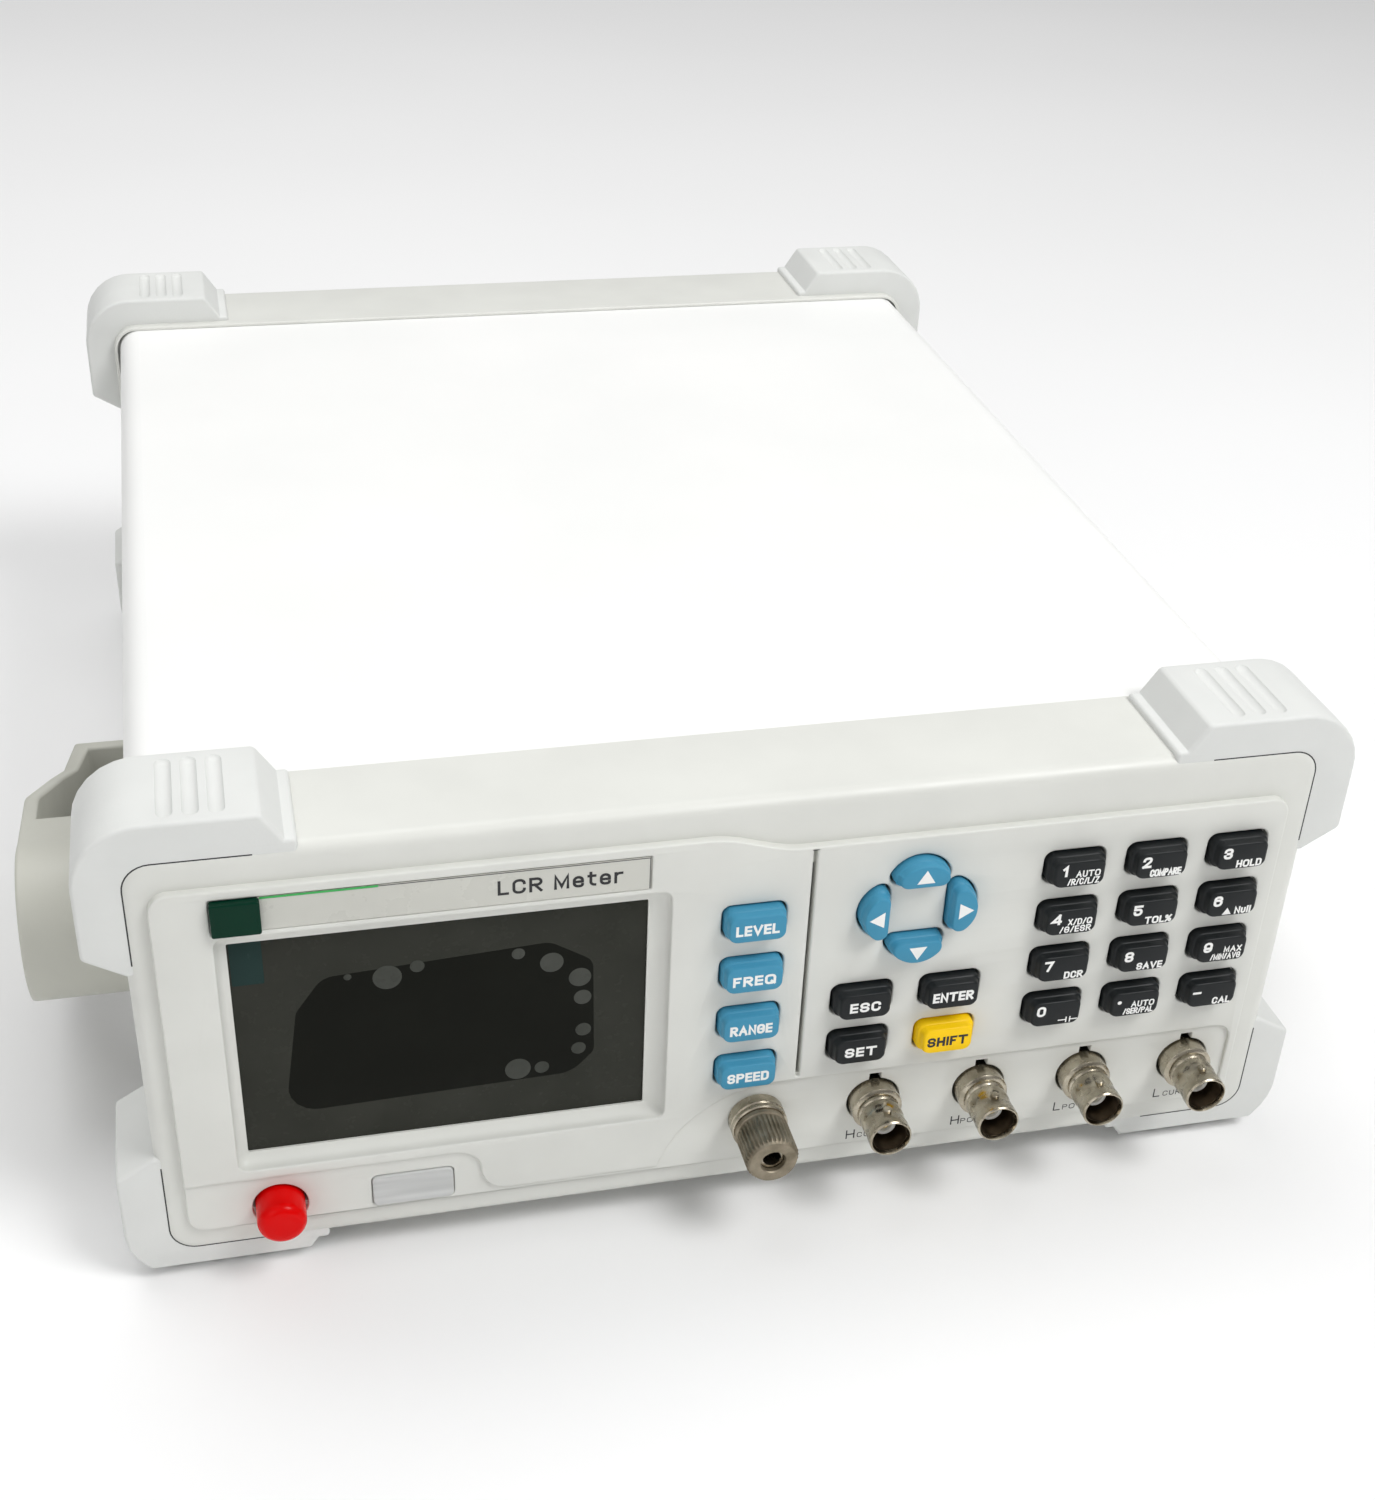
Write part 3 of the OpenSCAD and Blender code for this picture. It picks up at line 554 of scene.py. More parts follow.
def status_outline(grow):
    w = STATUS_W / 2 + grow
    h = STATUS_H / 2 + grow
    return rounded(STATUS.x - w, STATUS.x + w, STATUS.z - h, STATUS.z + h, 1.3 + grow)


def key_holes():
    plain = [key_outline(name, -KEY_GAP) for name in FUNCTIONS + EDITS + ENTRIES]
    return plain + [arrow_outline(turn, -KEY_GAP) for turn in ARROWS.values()]


def panel():
    label_low = case_box("corner_badge")[0]
    label_high = case_box("label_strip")[1]
    gap = 0.15
    label = rounded(label_low.x - gap, label_high.x + gap, label_low.z - gap, label_high.z + gap, 0.3, 2)
    divider = rounded(DIVIDER_X - 0.45, DIVIDER_X + 0.45, RECESS_Z + 1, KEYPAD_TOP - 0.6, 0.4, 4)
    over = [raised_outline(), surround_outline(1), label, divider] + key_holes()
    as_object("raised_panel", plate(over, PANEL_Y, 1.5, 0.45), CASE, "case",
              ("front_bezel",))
    holes = [surround_outline(1, 0.3), status_outline(0.15)]
    holes += [socket_hole(x, TERMINAL_Z, SOCKET_HOLE_R) for x in SOCKET_XS]
    holes += [disc(BUTTON.x, BUTTON.z, BUTTON_R + 0.6), disc(POST_X, TERMINAL_Z, 3.2)]
    holes += [key_outline(name, -KEY_GAP - 0.2) for name in FUNCTIONS + EDITS + ENTRIES]
    holes += [arrow_outline(turn, -KEY_GAP - 0.15) for turn in ARROWS.values()]
    holes.append(rounded(DIVIDER_X - 0.5, DIVIDER_X + 0.5, RECESS_Z + 1.5, KEYPAD_TOP - 1, 0.4, 4))
    as_object("base_panel", plate([base_outline()] + holes, RECESS_Y, 3.0, 0.3, 0.02), CASE, "case",
              ("front_bezel",))


def display_surround():
    """The hollow slope from the panel down to the glass."""
    rim = RECESS_Y - 0.3
    rings = [ring(surround_outline(1, 0.25), GLASS_Y - 0.1), ring(surround_outline(1, 0.25), rim)]
    steps = 8
    for i in range(steps + 1):
        a = math.radians(90 * i / steps)
        rings.append(ring(surround_outline(math.cos(a) ** 1.2 if i < steps else 0),
                          rim + (GLASS_Y - 0.6 - rim) * math.sin(a)))
    rings.append(ring(surround_outline(0), GLASS_Y - 0.1))
    as_object("display_surround", loft(rings, True), CASE, "case", ("front_bezel",), 50)


def display():
    """The glass under its protective film, the wetted patch with its bubbles, and the tab's tint."""
    x0, x1, z0, z1 = VIEW
    as_object("display_film", plate([rounded(x0 - 0.5, x1 + 0.5, z0 - 0.5, z1 + 0.5, 0.5, 3)],
                                    GLASS_Y - 0.1, GLASS_Y + 0.6, 0.04), SCREEN, "case",
              ("lcd_window",))
    patch = filleted([(x0 + 18.2, z1 - 11.3, 5), (x0 + 12.4, z1 - 19.5, 4), (x0 + 8.6, z0 + 9, 6),
                      (x1 - 16, z0 + 10.7, 7), (x1 - 11, z0 + 16, 3), (x1 - 11.4, z1 - 14.5, 3.5),
                      (x1 - 20.5, z1 - 8.6, 5)])
    as_object("wetted_patch", plate([patch], GLASS_Y - 0.13, GLASS_Y + 0.1, 0.02), WETTED, "case")
    bubbles = [(31.3, 42.0, 3.0), (37.5, 44.0, 1.5), (58.4, 44.3, 1.4), (65.4, 41.1, 2.5),
               (71.4, 36.4, 2.4), (72.0, 31.0, 1.9), (72.2, 22.2, 1.7), (71.2, 17.2, 1.6),
               (58.0, 13.4, 2.8), (63.2, 13.1, 1.6), (23.3, 43.2, 0.8)]
    domes = [lathe(x0 + x, z0 + z, [(r, GLASS_Y + 0.1), (r, GLASS_Y - 0.14), (r * 0.9, GLASS_Y - 0.2),
                                    (r * 0.5, GLASS_Y - 0.24)], steps=32) for x, z, r in bubbles]
    as_object("film_bubbles", joined_mesh(domes), BUBBLE, "case")
    tint = rounded(x0 + 0.4, x0 + 6.8, z1 - 11, z1 - 0.2, 0.3, 2)
    as_object("tab_tint", plate([tint], GLASS_Y - 0.14, GLASS_Y + 0.1, 0.02), TAB_TINT, "case")


# A plain stroke alphabet on a grid eight units high. Each stroke is a run of x and y digits;
# r rounds its corners, and o also closes it.
ALPHABET = {
    "A": "003860 1353", "C": "r565808005052", "D": "20000828 r28585020", "E": "48080040 0444",
    "F": "480800 0434", "G": "r565808005053 535434", "H": "0008 5058 0454", "I": "0008", "L": "080040",
    "M": "0008316860", "N": "00085058", "O": "o00086860", "P": "000828 r28585404",
    "Q": "o00086860 4260", "R": "000828 r28585404 2450", "S": "r5658080454500002", "T": "0868 3038",
    "U": "r08005058", "V": "083068", "X": "0058 0850", "Z": "08580050", "/": "0038",
    "%": "o05082825 o40436360 0068", "0": "o00085850", "1": "163830", "2": "r0608585500 0050",
    "3": "r0608585424 r2454500002", "4": "5058 580262", "5": "580805 r0555500002",
    "6": "r565808005053 r535505", "7": "085820", "8": "o04085854 o00045450", "9": "r020050580805 r050353",
    "e": "0343 r434606004041", "l": "0008", "r": "0006 r030636", "t": "r181030 0636",
    "u": "r06004046", "theta": "o00085850 0454",
}
LETTER_GAP = 3.1
WORD_GAP = 7.0
ROUNDNESS = 2.2
# A printed stroke's thickness, and how far crossing strokes lie apart so that they don't flicker
INK_T = 0.06
LAYER = 0.012


def rounded_run(points, closed):
    """A run of points whose corners are replaced with short arcs."""
    run = []
    last = len(points) - 1
    for i, here in enumerate(points):
        if not closed and i in (0, last):
            run.append(here)
            continue
        back = points[i - 1] - here
        ahead = points[(i + 1) % len(points)] - here
        back_share = 1.0 if not closed and i == 1 else 0.5
        ahead_share = 1.0 if not closed and i == last - 1 else 0.5
        half = back.angle(ahead) / 2
        reach = min(ROUNDNESS / math.tan(half), back.length * back_share, ahead.length * ahead_share)
        start = here + back.normalized() * reach
        end = here + ahead.normalized() * reach
        centre = here + (back.normalized() + ahead.normalized()).normalized() * (reach / math.cos(half))
        for k in range(6):
            out = start.lerp(end, k / 5) - centre
            run.append(centre + out.normalized() * (start - centre).length)
    before = [run[-1] if closed else None] + run[:-1]
    return [p for p, last in zip(run, before) if last is None or (p - last).length > 0.02]


def ribbon(points, half, y, closed):
    """A flat bar along a run of points, with square ends and mitred corners; y is its front."""
    points = list(points)
    if not closed:
        points[0] = points[0] + (points[0] - points[1]).normalized() * half
        points[-1] = points[-1] + (points[-1] - points[-2]).normalized() * half
    rings = []
    for i, here in enumerate(points):
        back = points[i - 1] if i or closed else None
        ahead = points[(i + 1) % len(points)] if i < len(points) - 1 or closed else None
        a = (here - back).normalized() if back is not None else (ahead - here).normalized()
        b = (ahead - here).normalized() if ahead is not None else a
        side = Vector((-(a + b).y, (a + b).x)).normalized()
        reach = half / max(side.dot(Vector((-a.y, a.x))), 0.45)
        left = here + side * reach
        right = here - side * reach
        rings.append([(left.x, y, left.y), (right.x, y, right.y), (right.x, y + INK_T, right.y),
                      (left.x, y + INK_T, left.y)])
    return loft(rings, closed)


def word_runs(words):
    """The strokes of some words on the alphabet's grid, and the width they take."""
    runs = []
    pen = 0.0
    for letter in words:
        if letter == " ":
            pen += WORD_GAP - LETTER_GAP
            continue
        widest = 0
        for stroke in ALPHABET["theta" if letter == "θ" else letter].split():
            digits = stroke.strip("ro")
            points = [Vector((int(digits[k]), int(digits[k + 1]))) for k in range(0, len(digits), 2)]
            widest = max([widest] + [p.x for p in points])
            if digits != stroke:
                points = rounded_run(points, stroke[0] == "o")
            runs.append(([Vector((p.x + pen, p.y)) for p in points], stroke[0] == "o"))
        pen += widest + LETTER_GAP
    return runs, pen - LETTER_GAP


def lettering(name, words, x, z, height, y, body, ink, bold=0.22, stretch=1.25, widest=9.4,
              anchor=0.5):
    """Printed words. height is a capital's, bold a stroke's share of it, and anchor the share of
    the words' width that lies before x."""
    runs, width = word_runs(words)
    stroke = height * bold
    unit = (height - stroke) / 8
    across = min(stretch * unit, (widest - stroke) / max(width, 1))
    start = x - anchor * (width * across + stroke) + stroke / 2
    bars = []
    for i, (points, closed) in enumerate(runs):
        points = [Vector((start + p.x * across, z + (p.y - 4) * unit)) for p in points]
        bars.append(ribbon(points, stroke / 2, y - LAYER * (i % 4), closed))
    return as_object(name, joined_mesh(bars), ink, body)


def label():
    low, high = case_box("label_strip")
    badge = case_box("corner_badge")
    face = rounded(low.x - 0.5, high.x, low.z, high.z, 0.3, 2)
    as_object("label_face", plate([face], low.y, high.y, 0.08), LABEL, "case",
              ("label_strip",))
    line_top = rounded(low.x, high.x - 0.1, high.z - 0.28, high.z - 0.06, 0.05, 1)
    line_end = rounded(high.x - 0.32, high.x - 0.1, low.z + 0.1, high.z - 0.1, 0.05, 1)
    lines = [plate([o], low.y - 0.03, low.y + 0.05, 0.01) for o in (line_top, line_end)]
    as_object("label_border", joined_mesh(lines), INK_GREY, "case")
    green = rounded(low.x, low.x + 23, high.z - 0.4, high.z + 0.05, 0.1, 1)
    as_object("label_film_edge", plate([green], low.y - 0.08, low.y + 0.05, 0.02), GREEN_LINE, "case")
    lettering("label_words", "LCR Meter", high.x - 18.6, (low.z + high.z) / 2 + 0.1, 3.5,
              low.y - 0.02, "case", INK_BLACK, 0.17, 1.4, 25.6)
    edge = rounded(badge[0].x, badge[1].x, badge[0].z, badge[1].z, 0.5, 3)
    as_object("corner_tab", plate([edge], badge[0].y, badge[1].y, 0.35), GREEN, "case",
              ("corner_badge",))


def status_pane():
    low, high = case_box("status_window")
    pane = plate([status_outline(0)], low.y, high.y, 0.3)
    as_object("status_pane", pane, FROST, "case", ("status_window",))


# ---- Keys ----

# How far a cap draws in towards its face, in width and in height
DRAWS = {"plain": (1.4, 0.65), "broad": (0.75, 0.75)}
FLANGE_Y = 3.4
KEY_REACH = PANEL_Y - KEY_FRONT
# A cap's profile from the panel's face to its own: how far along, and how much of the draw
CAP_PROFILE = [(0.0, 0.0), (0.34, 0.06), (0.42, 0.16), (0.46, 0.38), (0.5, 0.47), (0.8, 0.6),
               (0.91, 0.7), (0.98, 0.86), (1.0, 1.08)]


def cap_mesh(outline):
    """A key with a flange behind the panel, a body and a smaller cap. outline(share) gives its shape."""
    back = FLANGE_Y + 1
    rings = [ring(outline(-0.6), back), ring(outline(-0.6), FLANGE_Y), ring(outline(0), FLANGE_Y)]
    rings += [ring(outline(share), PANEL_Y - along * KEY_REACH) for along, share in CAP_PROFILE]
    return loft(rings)


LEGEND_Y = KEY_FRONT - 0.01
WORD_HEIGHT, DIGIT_HEIGHT = 2.6, 2.8


def key(name, finish, slot, draw="plain"):
    turn = ARROWS.get(name)
    across, up = DRAWS[draw]
    if turn is None:
        mesh = cap_mesh(lambda share: key_outline(name, share * across, share * up))
    else:
        mesh = cap_mesh(lambda share: arrow_outline(turn, share * up))
    as_object("cap_" + name, mesh, finish, "key_" + name, ("key_" + name,), 50)


def key_words(name, ink):
    at = middle("key_" + name)
    lettering("legend_" + name, name.upper(), at.x - 0.1, at.z - 0.15, WORD_HEIGHT, LEGEND_Y,
              "key_" + name, ink)


def arrow_mark(name):
    """A white triangle that points away from the ring's middle."""
    a = math.radians(ARROWS[name])
    out = Vector((-math.sin(a), math.cos(a)))
    along = Vector((out.y, -out.x))
    centre = Vector((RING_X, RING_Z)) + out * (RING_R - ARROW_T / 2)
    corners = [centre + out * 1.75, centre - out * 1.55 + along * 2, centre - out * 1.55 - along * 2]
    mesh = plate([[tuple(c) for c in corners]], LEGEND_Y - 0.01, LEGEND_Y + 0.05, 0.01)
    as_object("mark_" + name, mesh, INK_WHITE, "key_" + name)


# The second words on the entry keys: an upper and a lower line
SECOND = {"1": ["AUTO", "/R/C/L/Z"], "2": ["COMPARE"], "3": ["HOLD"], "4": ["X/D/Q", "/θ/ESR"],
          "5": ["TOL%"], "6": ["Null"], "7": ["DCR"], "8": ["SAVE"], "9": ["MAX", "/MIN/AVG"],
          "point": ["AUTO", "/SER/PAL"], "minus": ["CAL"]}
SECOND_RIGHT = 4.65
LINE_LOW, LINE_RISE = -1.9, 1.9
UPPER_WIDEST, LOWER_WIDEST = 5.6, 7.3
# A capital's height and a stroke's share of it, for words on one line and on two
ONE_LINE, TWO_LINES = (1.95, 0.22), (1.7, 0.19)


def entry_words(name):
    at = middle("key_" + name)
    body = "key_" + name
    if name.isdigit():
        lettering("digit_" + name, name, at.x - 3.7, at.z + 1.0, DIGIT_HEIGHT, LEGEND_Y, body,
                  INK_WHITE, 0.22, 1.1)
    lines = SECOND.get(name, [])
    for i, words in enumerate(lines):
        z = at.z + LINE_LOW + LINE_RISE * (len(lines) - 1 - i)
        widest = UPPER_WIDEST if i + 1 < len(lines) else LOWER_WIDEST
        height, bold = TWO_LINES if len(lines) > 1 else ONE_LINE
        lettering(f"second_{name}_{i}", words, at.x + SECOND_RIGHT, z, height, LEGEND_Y, body,
                  INK_WHITE, bold, 1.0, widest, 1.0)
    # A dot, a bar, a triangle, and a capacitor's plates with their wires
    marks = {"point": [disc(at.x - 3.9, at.z + 0.8, 0.5, 20)],
             "minus": [rounded(at.x - 5.0, at.x - 2.9, at.z + 0.5, at.z + 1.1, 0.1, 2)],
             "6": [[(at.x - 2.2, at.z - 2.8), (at.x, at.z - 2.8), (at.x - 1.1, at.z - 1.0)]],
             "0": [rounded(at.x + a, at.x + b, at.z - 2.0 + c, at.z - 2.0 + d, 0.05, 1) for a, b, c, d in
                   [(0.6, 2.4, -0.15, 0.15), (2.4, 2.7, -0.8, 0.8), (3.3, 3.6, -0.8, 0.8),
                    (3.6, 5.2, -0.15, 0.15)]]}
    if name in marks:
        shapes = [plate([o], LEGEND_Y - 0.01, LEGEND_Y + 0.05, 0.01) for o in marks[name]]
        as_object("symbol_" + name, joined_mesh(shapes), INK_WHITE, body)


def keypad():
    for name in FUNCTIONS:
        key(name, BLUE, "blue_silicone", "broad")
        key_words(name, INK_WHITE)
    for name in ARROWS:
        key(name, BLUE, "blue_silicone", "broad")
        arrow_mark(name)
    for name in EDITS[:3]:
        key(name, DARK, "dark_silicone")
        key_words(name, INK_WHITE)
    key("shift", YELLOW, "yellow_silicone")
    key_words("shift", INK_BLACK)
    for name in ENTRIES:
        key(name, DARK, "dark_silicone")
        entry_words(name)


# ---- Controls and terminals ----

def power_button():
    low, high = case_box("power_button")
    front = low.y
    r = BUTTON_R
    dome = [(r - 2.3 + 2.3 * math.sin(math.radians(a)), front + 2.3 - 2.3 * math.cos(math.radians(a)))
            for a in range(15, 91, 15)]
    profile = [(0.4, front + 0.02), (1.8, front + 0.03)] + dome + [(r, 2.2), (r - 0.6, 2.6), (2.0, 2.6),
                                                                   (2.0, high.y)]
    as_object("button_cap", lathe(BUTTON.x, BUTTON.z, profile), RED, "power_button",
              ("power_button",))


def socket_shell(x):
    """A barrel with its step, groove and ridge, and the collar that lies on the panel."""
    mouth = SOCKET_LOW.y
    r = SOCKET_R
    profile = [(2.4, -3.4), (4.05, -3.4), (4.05, mouth + 0.7), (4.4, mouth), (4.6, mouth),
               (r, mouth + 0.3), (r, mouth + 2.6), (r - 0.12, mouth + 2.8), (r - 0.12, mouth + 5.6),
               (r, mouth + 5.8), (r, mouth + 7.6), (r - 0.3, mouth + 7.9), (r - 0.3, mouth + 8.4),
               (r, mouth + 8.7), (r, -5.0), (5.5, -4.8), (5.8, -4.5), (5.8, -0.6), (r, -0.6),
               (r, 11), (2.4, 11)]
    return lathe(x, TERMINAL_Z, profile, True)


def socket_lugs(x):
    """The two bayonet lugs, above and below the barrel."""
    y = SOCKET_LOW.y + 4.2
    parts = []
    for way in (-1, 1):
        heights = [(1.0, 4.2), (1.0, 5.25), (0.75, 5.5)]
        rings = [[(x + r * math.cos(a), y + r * math.sin(a), TERMINAL_Z + way * h)
                  for a in (math.radians(15 * k) for k in range(24))] for r, h in heights]
        parts.append(loft(rings))
    return parts


def terminals():
    shells = [socket_shell(x) for x in SOCKET_XS]
    for x in SOCKET_XS:
        shells += socket_lugs(x)
    as_object("socket_shells", joined_mesh(shells), NICKEL, "case", ("bnc_shells",))
    mouth = SOCKET_LOW.y
    # Painted shade: a thin sleeve of darker nickel just inside each barrel darkens its inner wall
    shade_sleeve = [(3.5, -3.5), (4.0, -3.5), (4.0, mouth + 0.9), (3.96, mouth + 0.9), (3.9, -3.6), (3.5, -3.6)]
    shade_sleeves = [lathe(x, TERMINAL_Z, shade_sleeve, True) for x in SOCKET_XS]
    as_object("socket_shade_sleeves", joined_mesh(shade_sleeves), SHADED_NICKEL, "case")
    face = case_box("bnc_insulators")[0].y
    core = [(1.15, 10), (1.15, face + 0.6), (1.5, face), (2.2, face), (2.5, face + 0.3), (2.5, -4.4),
            (3.9, -4.1), (3.9, -3.3), (2.4, -3.3), (2.4, 10)]
    cores = [lathe(x, TERMINAL_Z, core, True) for x in SOCKET_XS]
    as_object("socket_insulators", joined_mesh(cores), WHITE, "case",
              ("bnc_insulators",))
    pin = [(0.65, -5), (0.65, face + 0.6), (0.8, face + 0.45), (1.05, face + 0.55), (1.12, face + 1),
           (1.12, 12), (0.65, 12)]
    pins = [lathe(x, TERMINAL_Z, pin, True, 24) for x in SOCKET_XS]
    as_object("socket_contacts", joined_mesh(pins), GOLD, "case", ("bnc_contacts",))


def ground_post():
    low, high = case_box("ground_post")
    stud_r, bore_r, collar_r = 3.0, 2.05, 6.4
    rim = collar_r - 0.3
    stud = [(bore_r, -3.2), (bore_r, low.y), (stud_r - 0.2, low.y), (stud_r, low.y + 0.3),
            (stud_r, -4.2), (rim, -4.2), (collar_r, -3.9), (collar_r, -1.5), (rim, -1.2),
            (stud_r, -1.2), (stud_r, high.y), (bore_r * 0.3, high.y), (bore_r * 0.3, -3.2)]
    as_object("post_stud", lathe(POST_X, TERMINAL_Z, stud, True), NICKEL, "case",
              ("ground_post",))
    ring_low, ring_high = case_box("clamp_ring")
    inner = stud_r + 0.05
    near, far = ring_low.y + 0.02, ring_high.y - 0.02
    clamp = [(inner, far), (inner, near), (rim, near), (collar_r, ring_low.y + 0.3),
             (collar_r, ring_high.y - 0.3), (rim, far)]
    as_object("post_clamp_ring", lathe(POST_X, TERMINAL_Z, clamp, True), NICKEL, "clamp_ring",
              ("clamp_ring",))


RIDGES = 36


def ridged(r, depth, y):
    """A ring with straight knurling."""
    count = RIDGES * 4
    heights = [0.0, 1.0, 1.0, 0.0]
    points = []
    for k in range(count):
        a = 2 * math.pi * k / count
        reach = r - depth * (1 - heights[k % 4])
        points.append((POST_X + reach * math.cos(a), y, TERMINAL_Z + reach * math.sin(a)))
    return points


def ground_knob():
    low, high = case_box("ground_knob")
    r = (high.x - low.x) / 2
    front = low.y
    profile = [(3.1, front + 1.4, 0), (2.75, front + 1.3, 0), (2.75, front + 0.3, 0), (3.0, front, 0),
               (r - 1.0, front, 0), (r - 0.7, front + 0.15, 0), (r - 0.35, front + 0.75, 0.1),
               (r, front + 1.3, 0.45), (r, high.y - 2.2, 0.45), (r - 0.35, high.y - 1.9, 0.0),
               (r - 0.35, high.y - 1.5, 0.0), (r - 0.05, high.y - 1.3, 0), (r - 0.05, high.y - 0.3, 0),
               (r - 0.3, high.y, 0), (3.1, high.y, 0)]
    rings = [ridged(radius, depth, y) for radius, y, depth in profile]
    as_object("post_knob", loft(rings, True), KNURLED, "ground_knob", ("ground_knob",), 28)


def terminal_marks():
    """Plain letters below the sockets: high and low, current and potential."""
    for i, (big, small) in enumerate([("H", "CUR"), ("H", "POT"), ("L", "POT"), ("L", "CUR")]):
        x = SOCKET_XS[i] - 4.6
        z = TERMINAL_Z - 9.7
        lettering(f"terminal_{i}", big, x, z, 2.6, RECESS_Y - 0.01, "case", INK_BLACK,
                  0.12)
        lettering(f"terminal_{i}_kind", small, x + 3.9, z - 0.5, 1.5, RECESS_Y - 0.01, "case", INK_BLACK,
                  0.13)


# ---- Bumpers ----

BUMP_T, BUMP_SIDE = 7.5, 8.3
BUMP_X, BUMP_Z, BUMP_R = 35.0, 27.5, 14.0
BUMP_TOE = 4.0
GROOVES = 3
# The first groove from the case's side, their pitch, how high their rods lie, and their bare ends
GROOVE_X, GROOVE_PITCH, GROOVE_Z, GROOVE_END = 20.5, 4.9, 1.3, 4.2


def bumper_outline(way_x, way_z):
    """An L round one corner of the case. It reaches into the frame, which it hugs."""
    out_x = HALF_W + BUMP_SIDE
    out_z = CASE_H + BUMP_T
    hug = 2.2
    points = filleted([
        (HALF_W - BUMP_X, CASE_H - hug, 0.9), (HALF_W - BUMP_X, CASE_H + 1.4, 0.9),
        (HALF_W - BUMP_X + 2.4, CASE_H + 1.4, 0.3), (HALF_W - BUMP_X + 6.5, out_z, 1.5),
        (out_x, out_z, BUMP_R), (out_x, CASE_H - BUMP_Z + 5, 1.5), (HALF_W, CASE_H - BUMP_Z, 0.9),
        (HALF_W - hug, CASE_H - BUMP_Z, 0.9), (HALF_W - hug, CASE_H - hug, 4.0)], 8)
    return [(way_x * x, z if way_z > 0 else CASE_H - z) for x, z in points]


def groove(x, z, y0, y1, r=2.1):
    """A round-ended rod along Y, to press a groove with."""
    ends = [15, 40, 65, 90]
    near = [(r * math.sin(math.radians(a)), y0 - r * math.cos(math.radians(a))) for a in ends]
    far = [(radius, y0 + y1 - y) for radius, y in reversed(near)]
    return lathe(x, z, near + far, steps=24)


def toe_cutter(y0, way_z):
    """A wedge that slants the front edge of a lower front bumper."""
    top = CASE_H + BUMP_T if way_z > 0 else -BUMP_T
    shape = [(-1, 1), (BUMP_TOE, 1), (BUMP_TOE, 0), (0, -BUMP_TOE), (-1, -BUMP_TOE)]
    ends = (-HALF_W - BUMP_SIDE - 1, HALF_W + BUMP_SIDE + 1)
    return loft([[(x, y0 + y, top + way_z * z) for y, z in shape] for x in ends])


def bumper(name, way_x, way_z, y0, y1, node):
    body = plate([bumper_outline(way_x, way_z)], y0, y1, 0.9, steps=4)
    top = CASE_H + BUMP_T if way_z > 0 else -BUMP_T
    for i in range(GROOVES):
        x = way_x * (HALF_W - GROOVE_X + i * GROOVE_PITCH)
        body = carved(body, groove(x, top + way_z * GROOVE_Z, y0 + GROOVE_END, y1 - GROOVE_END))
    if node == "front_bottom_bumpers":
        body = carved(body, toe_cutter(y0, way_z))
    as_object(name, body, RUBBER, "case", (node,), 30)


# How far the painted gap shadow stops short of a bumper's two ends, and half its width
GAP_SHADOW_SHORT_X, GAP_SHADOW_SHORT_Z, GAP_SHADOW_HALF = 9, 3, 0.25


def gap_shadow_strip(name, way_x, way_z, y0):
    """A black strip of painted shadow, standing for the shaded gap round the frame's corner where a
    bumper's front meets it.
    """
    drop = 1 - min(y0 / WALL, 1)
    inset = WALL * (1 - math.sqrt(1 - drop * drop))
    r, x, z = FRAME_R - inset, HALF_W - inset, CASE_H - inset
    bend = arc(x - r, z - r, r, 90, 0, 8)
    path = [(HALF_W - BUMP_X + GAP_SHADOW_SHORT_X, z)] + bend + [(x, CASE_H - BUMP_Z + GAP_SHADOW_SHORT_Z)]
    path = [Vector((way_x * px, pz if way_z > 0 else CASE_H - pz)) for px, pz in path]
    as_object(name, ribbon(path, GAP_SHADOW_HALF, y0 - 0.02, False), BLACK, "case")


LEVELS = (("upper", 1, "front_top_bumpers"), ("lower", -1, "front_bottom_bumpers"))


def bumpers():
    for side, way_x in (("left", -1), ("right", 1)):
        for level, way_z, node in LEVELS:
            low, high = case_box(node)
            bumper(f"bumper_front_{level}_{side}", way_x, way_z, low.y, high.y, node)
            # Each front bumper gets a black strip of painted shadow along its gap to the frame
            gap_shadow_strip(f"gap_shadow_front_{level}_{side}", way_x, way_z, low.y)
            low, high = case_box("rear_bumpers")
            bumper(f"bumper_rear_{level}_{side}", way_x, way_z, low.y, high.y, "rear_bumpers")


# ---- Covers and rear ----

def rear_frame():
    """A hoop with a deep inner lip, from the cover's edge to its rounded back."""
    low, high = case_box("rear_bezel")
    panel_back = case_box("rear_panel")[1].y
    deep = 6.0
    rings = [frame_ring(low.y + deep, WALL), frame_ring(panel_back, WALL), frame_ring(panel_back, deep),
             frame_ring(high.y - 0.6, deep), frame_ring(high.y, deep - 0.6)]
    rings += list(reversed(edge_rings(high.y, 2.5, 1)))
    rings += [frame_ring(low.y + 0.35, 0), frame_ring(low.y, 0.35), frame_ring(low.y, LIP),
              frame_ring(low.y + deep, LIP)]
    as_object("rear_frame", loft(rings, True), CASE, "case", ("rear_bezel",))


# CAD nodes that keep their shape and get rounded edges: how wide, and their finish
SOFT_NODES = {
    "rear_panel": (0.15, REAR), "mains_inlet": (0.4, BLACK), "fuse_drawer": (0.25, BLACK),
    "voltage_selector": (0.3, BLACK), "voltage_slider": (0.15, RED), "serial_port": (0.2, NICKEL),
    "usb_socket": (0.2, NICKEL), "cover_screws": (0.15, NICKEL), "tilt_arm_left": (0.9, STAND),
    "tilt_arm_right": (0.9, STAND), "tilt_bar": (1.0, STAND), "inlet_pins": (0.3, NICKEL),
}


def softened_nodes():
    body_of = {n: b for b, names in frame["record"]["behaviour"]["bodies"].items() for n in names}
    for node, (width, finish) in SOFT_NODES.items():
        as_object("soft_" + node, softened(node, width), finish, body_of[node],
                  (node,), 40)


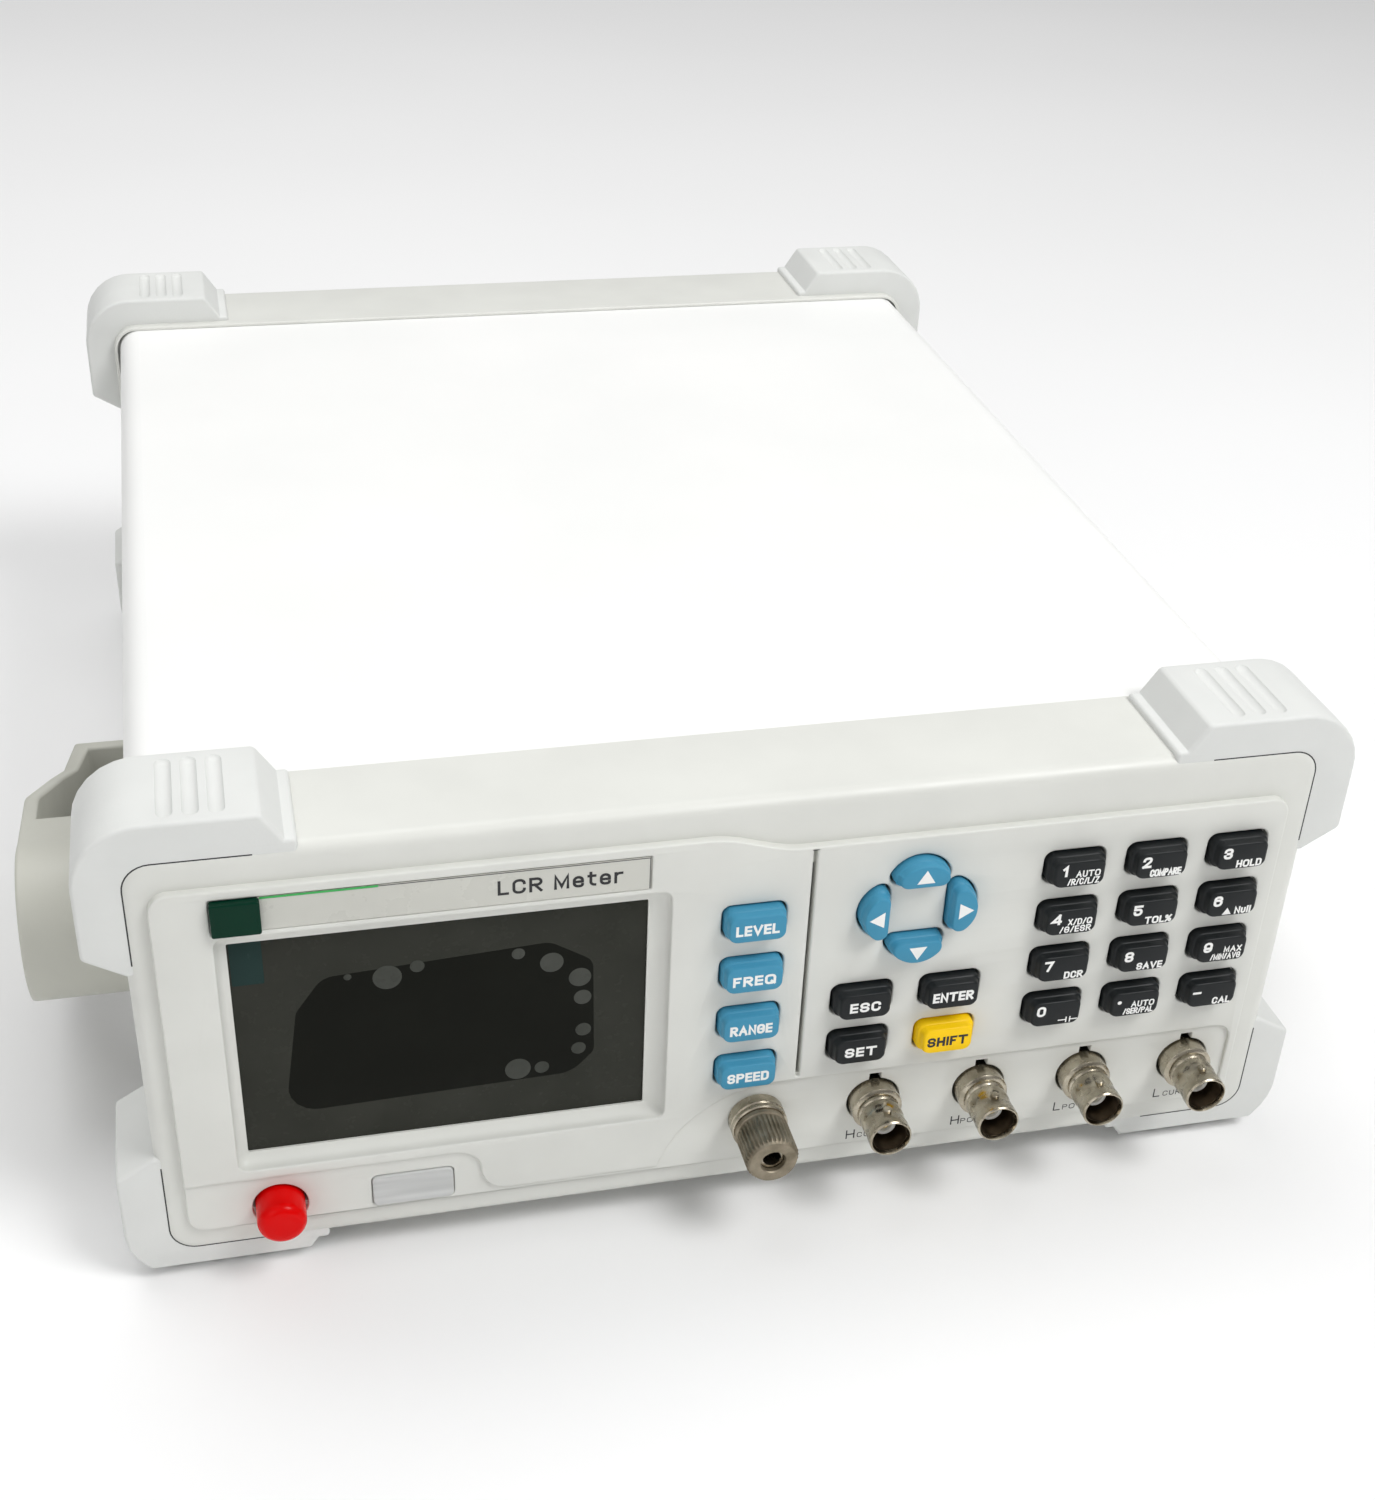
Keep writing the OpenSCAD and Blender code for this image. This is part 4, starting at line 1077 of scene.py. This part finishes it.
# CAD nodes that are shown as they are
FINISHES = {
    "top_cover": COVER, "bottom_tray": COVER, "lcd_module": BLACK, "keypad_board": BOARD,
    "power_switch": BLACK, "main_board": BOARD, "mains_transformer": STEEL, "pivot_bolts": NICKEL,
}


def finish_nodes():
    for node, finish in FINISHES.items():
        mesh = frame["nodes"][node].data
        for i in range(len(mesh.materials)):
            mesh.materials[i] = finish


# ---- Stage, light and camera ----

def stage():
    floor_mesh = bpy.data.meshes.new("floor")
    build = bmesh.new()
    bmesh.ops.create_grid(build, x_segments=1, y_segments=1, size=6)
    build.to_mesh(floor_mesh)
    floor = bpy.data.objects.new("floor", floor_mesh)
    bpy.context.scene.collection.objects.link(floor)
    paper, tree, main = shader("paper", Roughness=0.9)
    main.inputs["Specular IOR Level"].default_value = 0.1
    tone = tinted(tree, noise(tree, 3, 2), (0.9, 0.9, 0.9), (0.92, 0.92, 0.92))
    tree.links.new(tone, main.inputs["Base Color"])
    floor_mesh.materials.append(paper)


def area_light(name, at, towards, size, power):
    light = bpy.data.lights.new(name, "AREA")
    light.size = size
    light.energy = power
    lamp = bpy.data.objects.new(name, light)
    lamp.location = at
    lamp.rotation_euler = (Vector(towards) - Vector(at)).to_track_quat("-Z", "Y").to_euler()
    bpy.context.scene.collection.objects.link(lamp)


def sky():
    """A studio that is bright above and dimmer towards the horizon."""
    world = bpy.data.worlds.new("studio")
    world.use_nodes = True
    tree = world.node_tree
    parts = tree.nodes.new("ShaderNodeSeparateXYZ")
    tree.links.new(tree.nodes.new("ShaderNodeTexCoord").outputs["Generated"], parts.inputs[0])
    spread = linked(tree, "ShaderNodeMapRange", Value=parts.outputs["Z"], To_Min=0.17, To_Max=0.48)
    spread.inputs["From Min"].default_value = -0.1
    spread.inputs["From Max"].default_value = 0.7
    tree.links.new(spread.outputs[0], tree.nodes["Background"].inputs["Strength"])
    tree.nodes["Background"].inputs["Color"].default_value = (1, 1, 1, 1)
    bpy.context.scene.world = world


def lights():
    sky()
    area_light("key_lamp", (0.7, -0.8, 1.35), (0, 0, 0.05), 0.6, 14)
    area_light("top_lamp", (-0.3, 0.4, 1.5), (0, 0.05, 0.05), 1.0, 9)
    area_light("fill_lamp", (-1.0, -1.2, 0.7), (0, -0.1, 0.05), 1.0, 2.6)


# The photograph's viewing place, in case millimetres, and how the camera is turned there, in degrees
EYE = (-100.789, -331.159, 324.593)
TURNED, DOWN, ROLLED = 14.767, 33.13, 2.564
LENS, SHIFT = 48.75, (-0.00436, 0.04368)


def turned(degrees, axis):
    return Matrix.Rotation(math.radians(degrees), 4, axis)


def camera():
    lens = bpy.data.cameras.new("camera")
    lens.sensor_width = 36
    lens.lens = LENS
    lens.shift_x, lens.shift_y = SHIFT
    eye = bpy.data.objects.new("camera", lens)
    aim = turned(-TURNED, "Z") @ turned(90 - DOWN, "X") @ turned(ROLLED, "Z")
    eye.matrix_world = Matrix.Translation(place(*EYE)) @ aim
    bpy.context.scene.collection.objects.link(eye)
    bpy.context.scene.camera = eye
    bpy.context.scene.view_settings.view_transform = "Standard"


camera()
stage()
lights()
front_frame()
panel()
display_surround()
display()
label()
status_pane()
keypad()
power_button()
terminals()
ground_post()
ground_knob()
terminal_marks()
bumpers()
rear_frame()
softened_nodes()
finish_nodes()
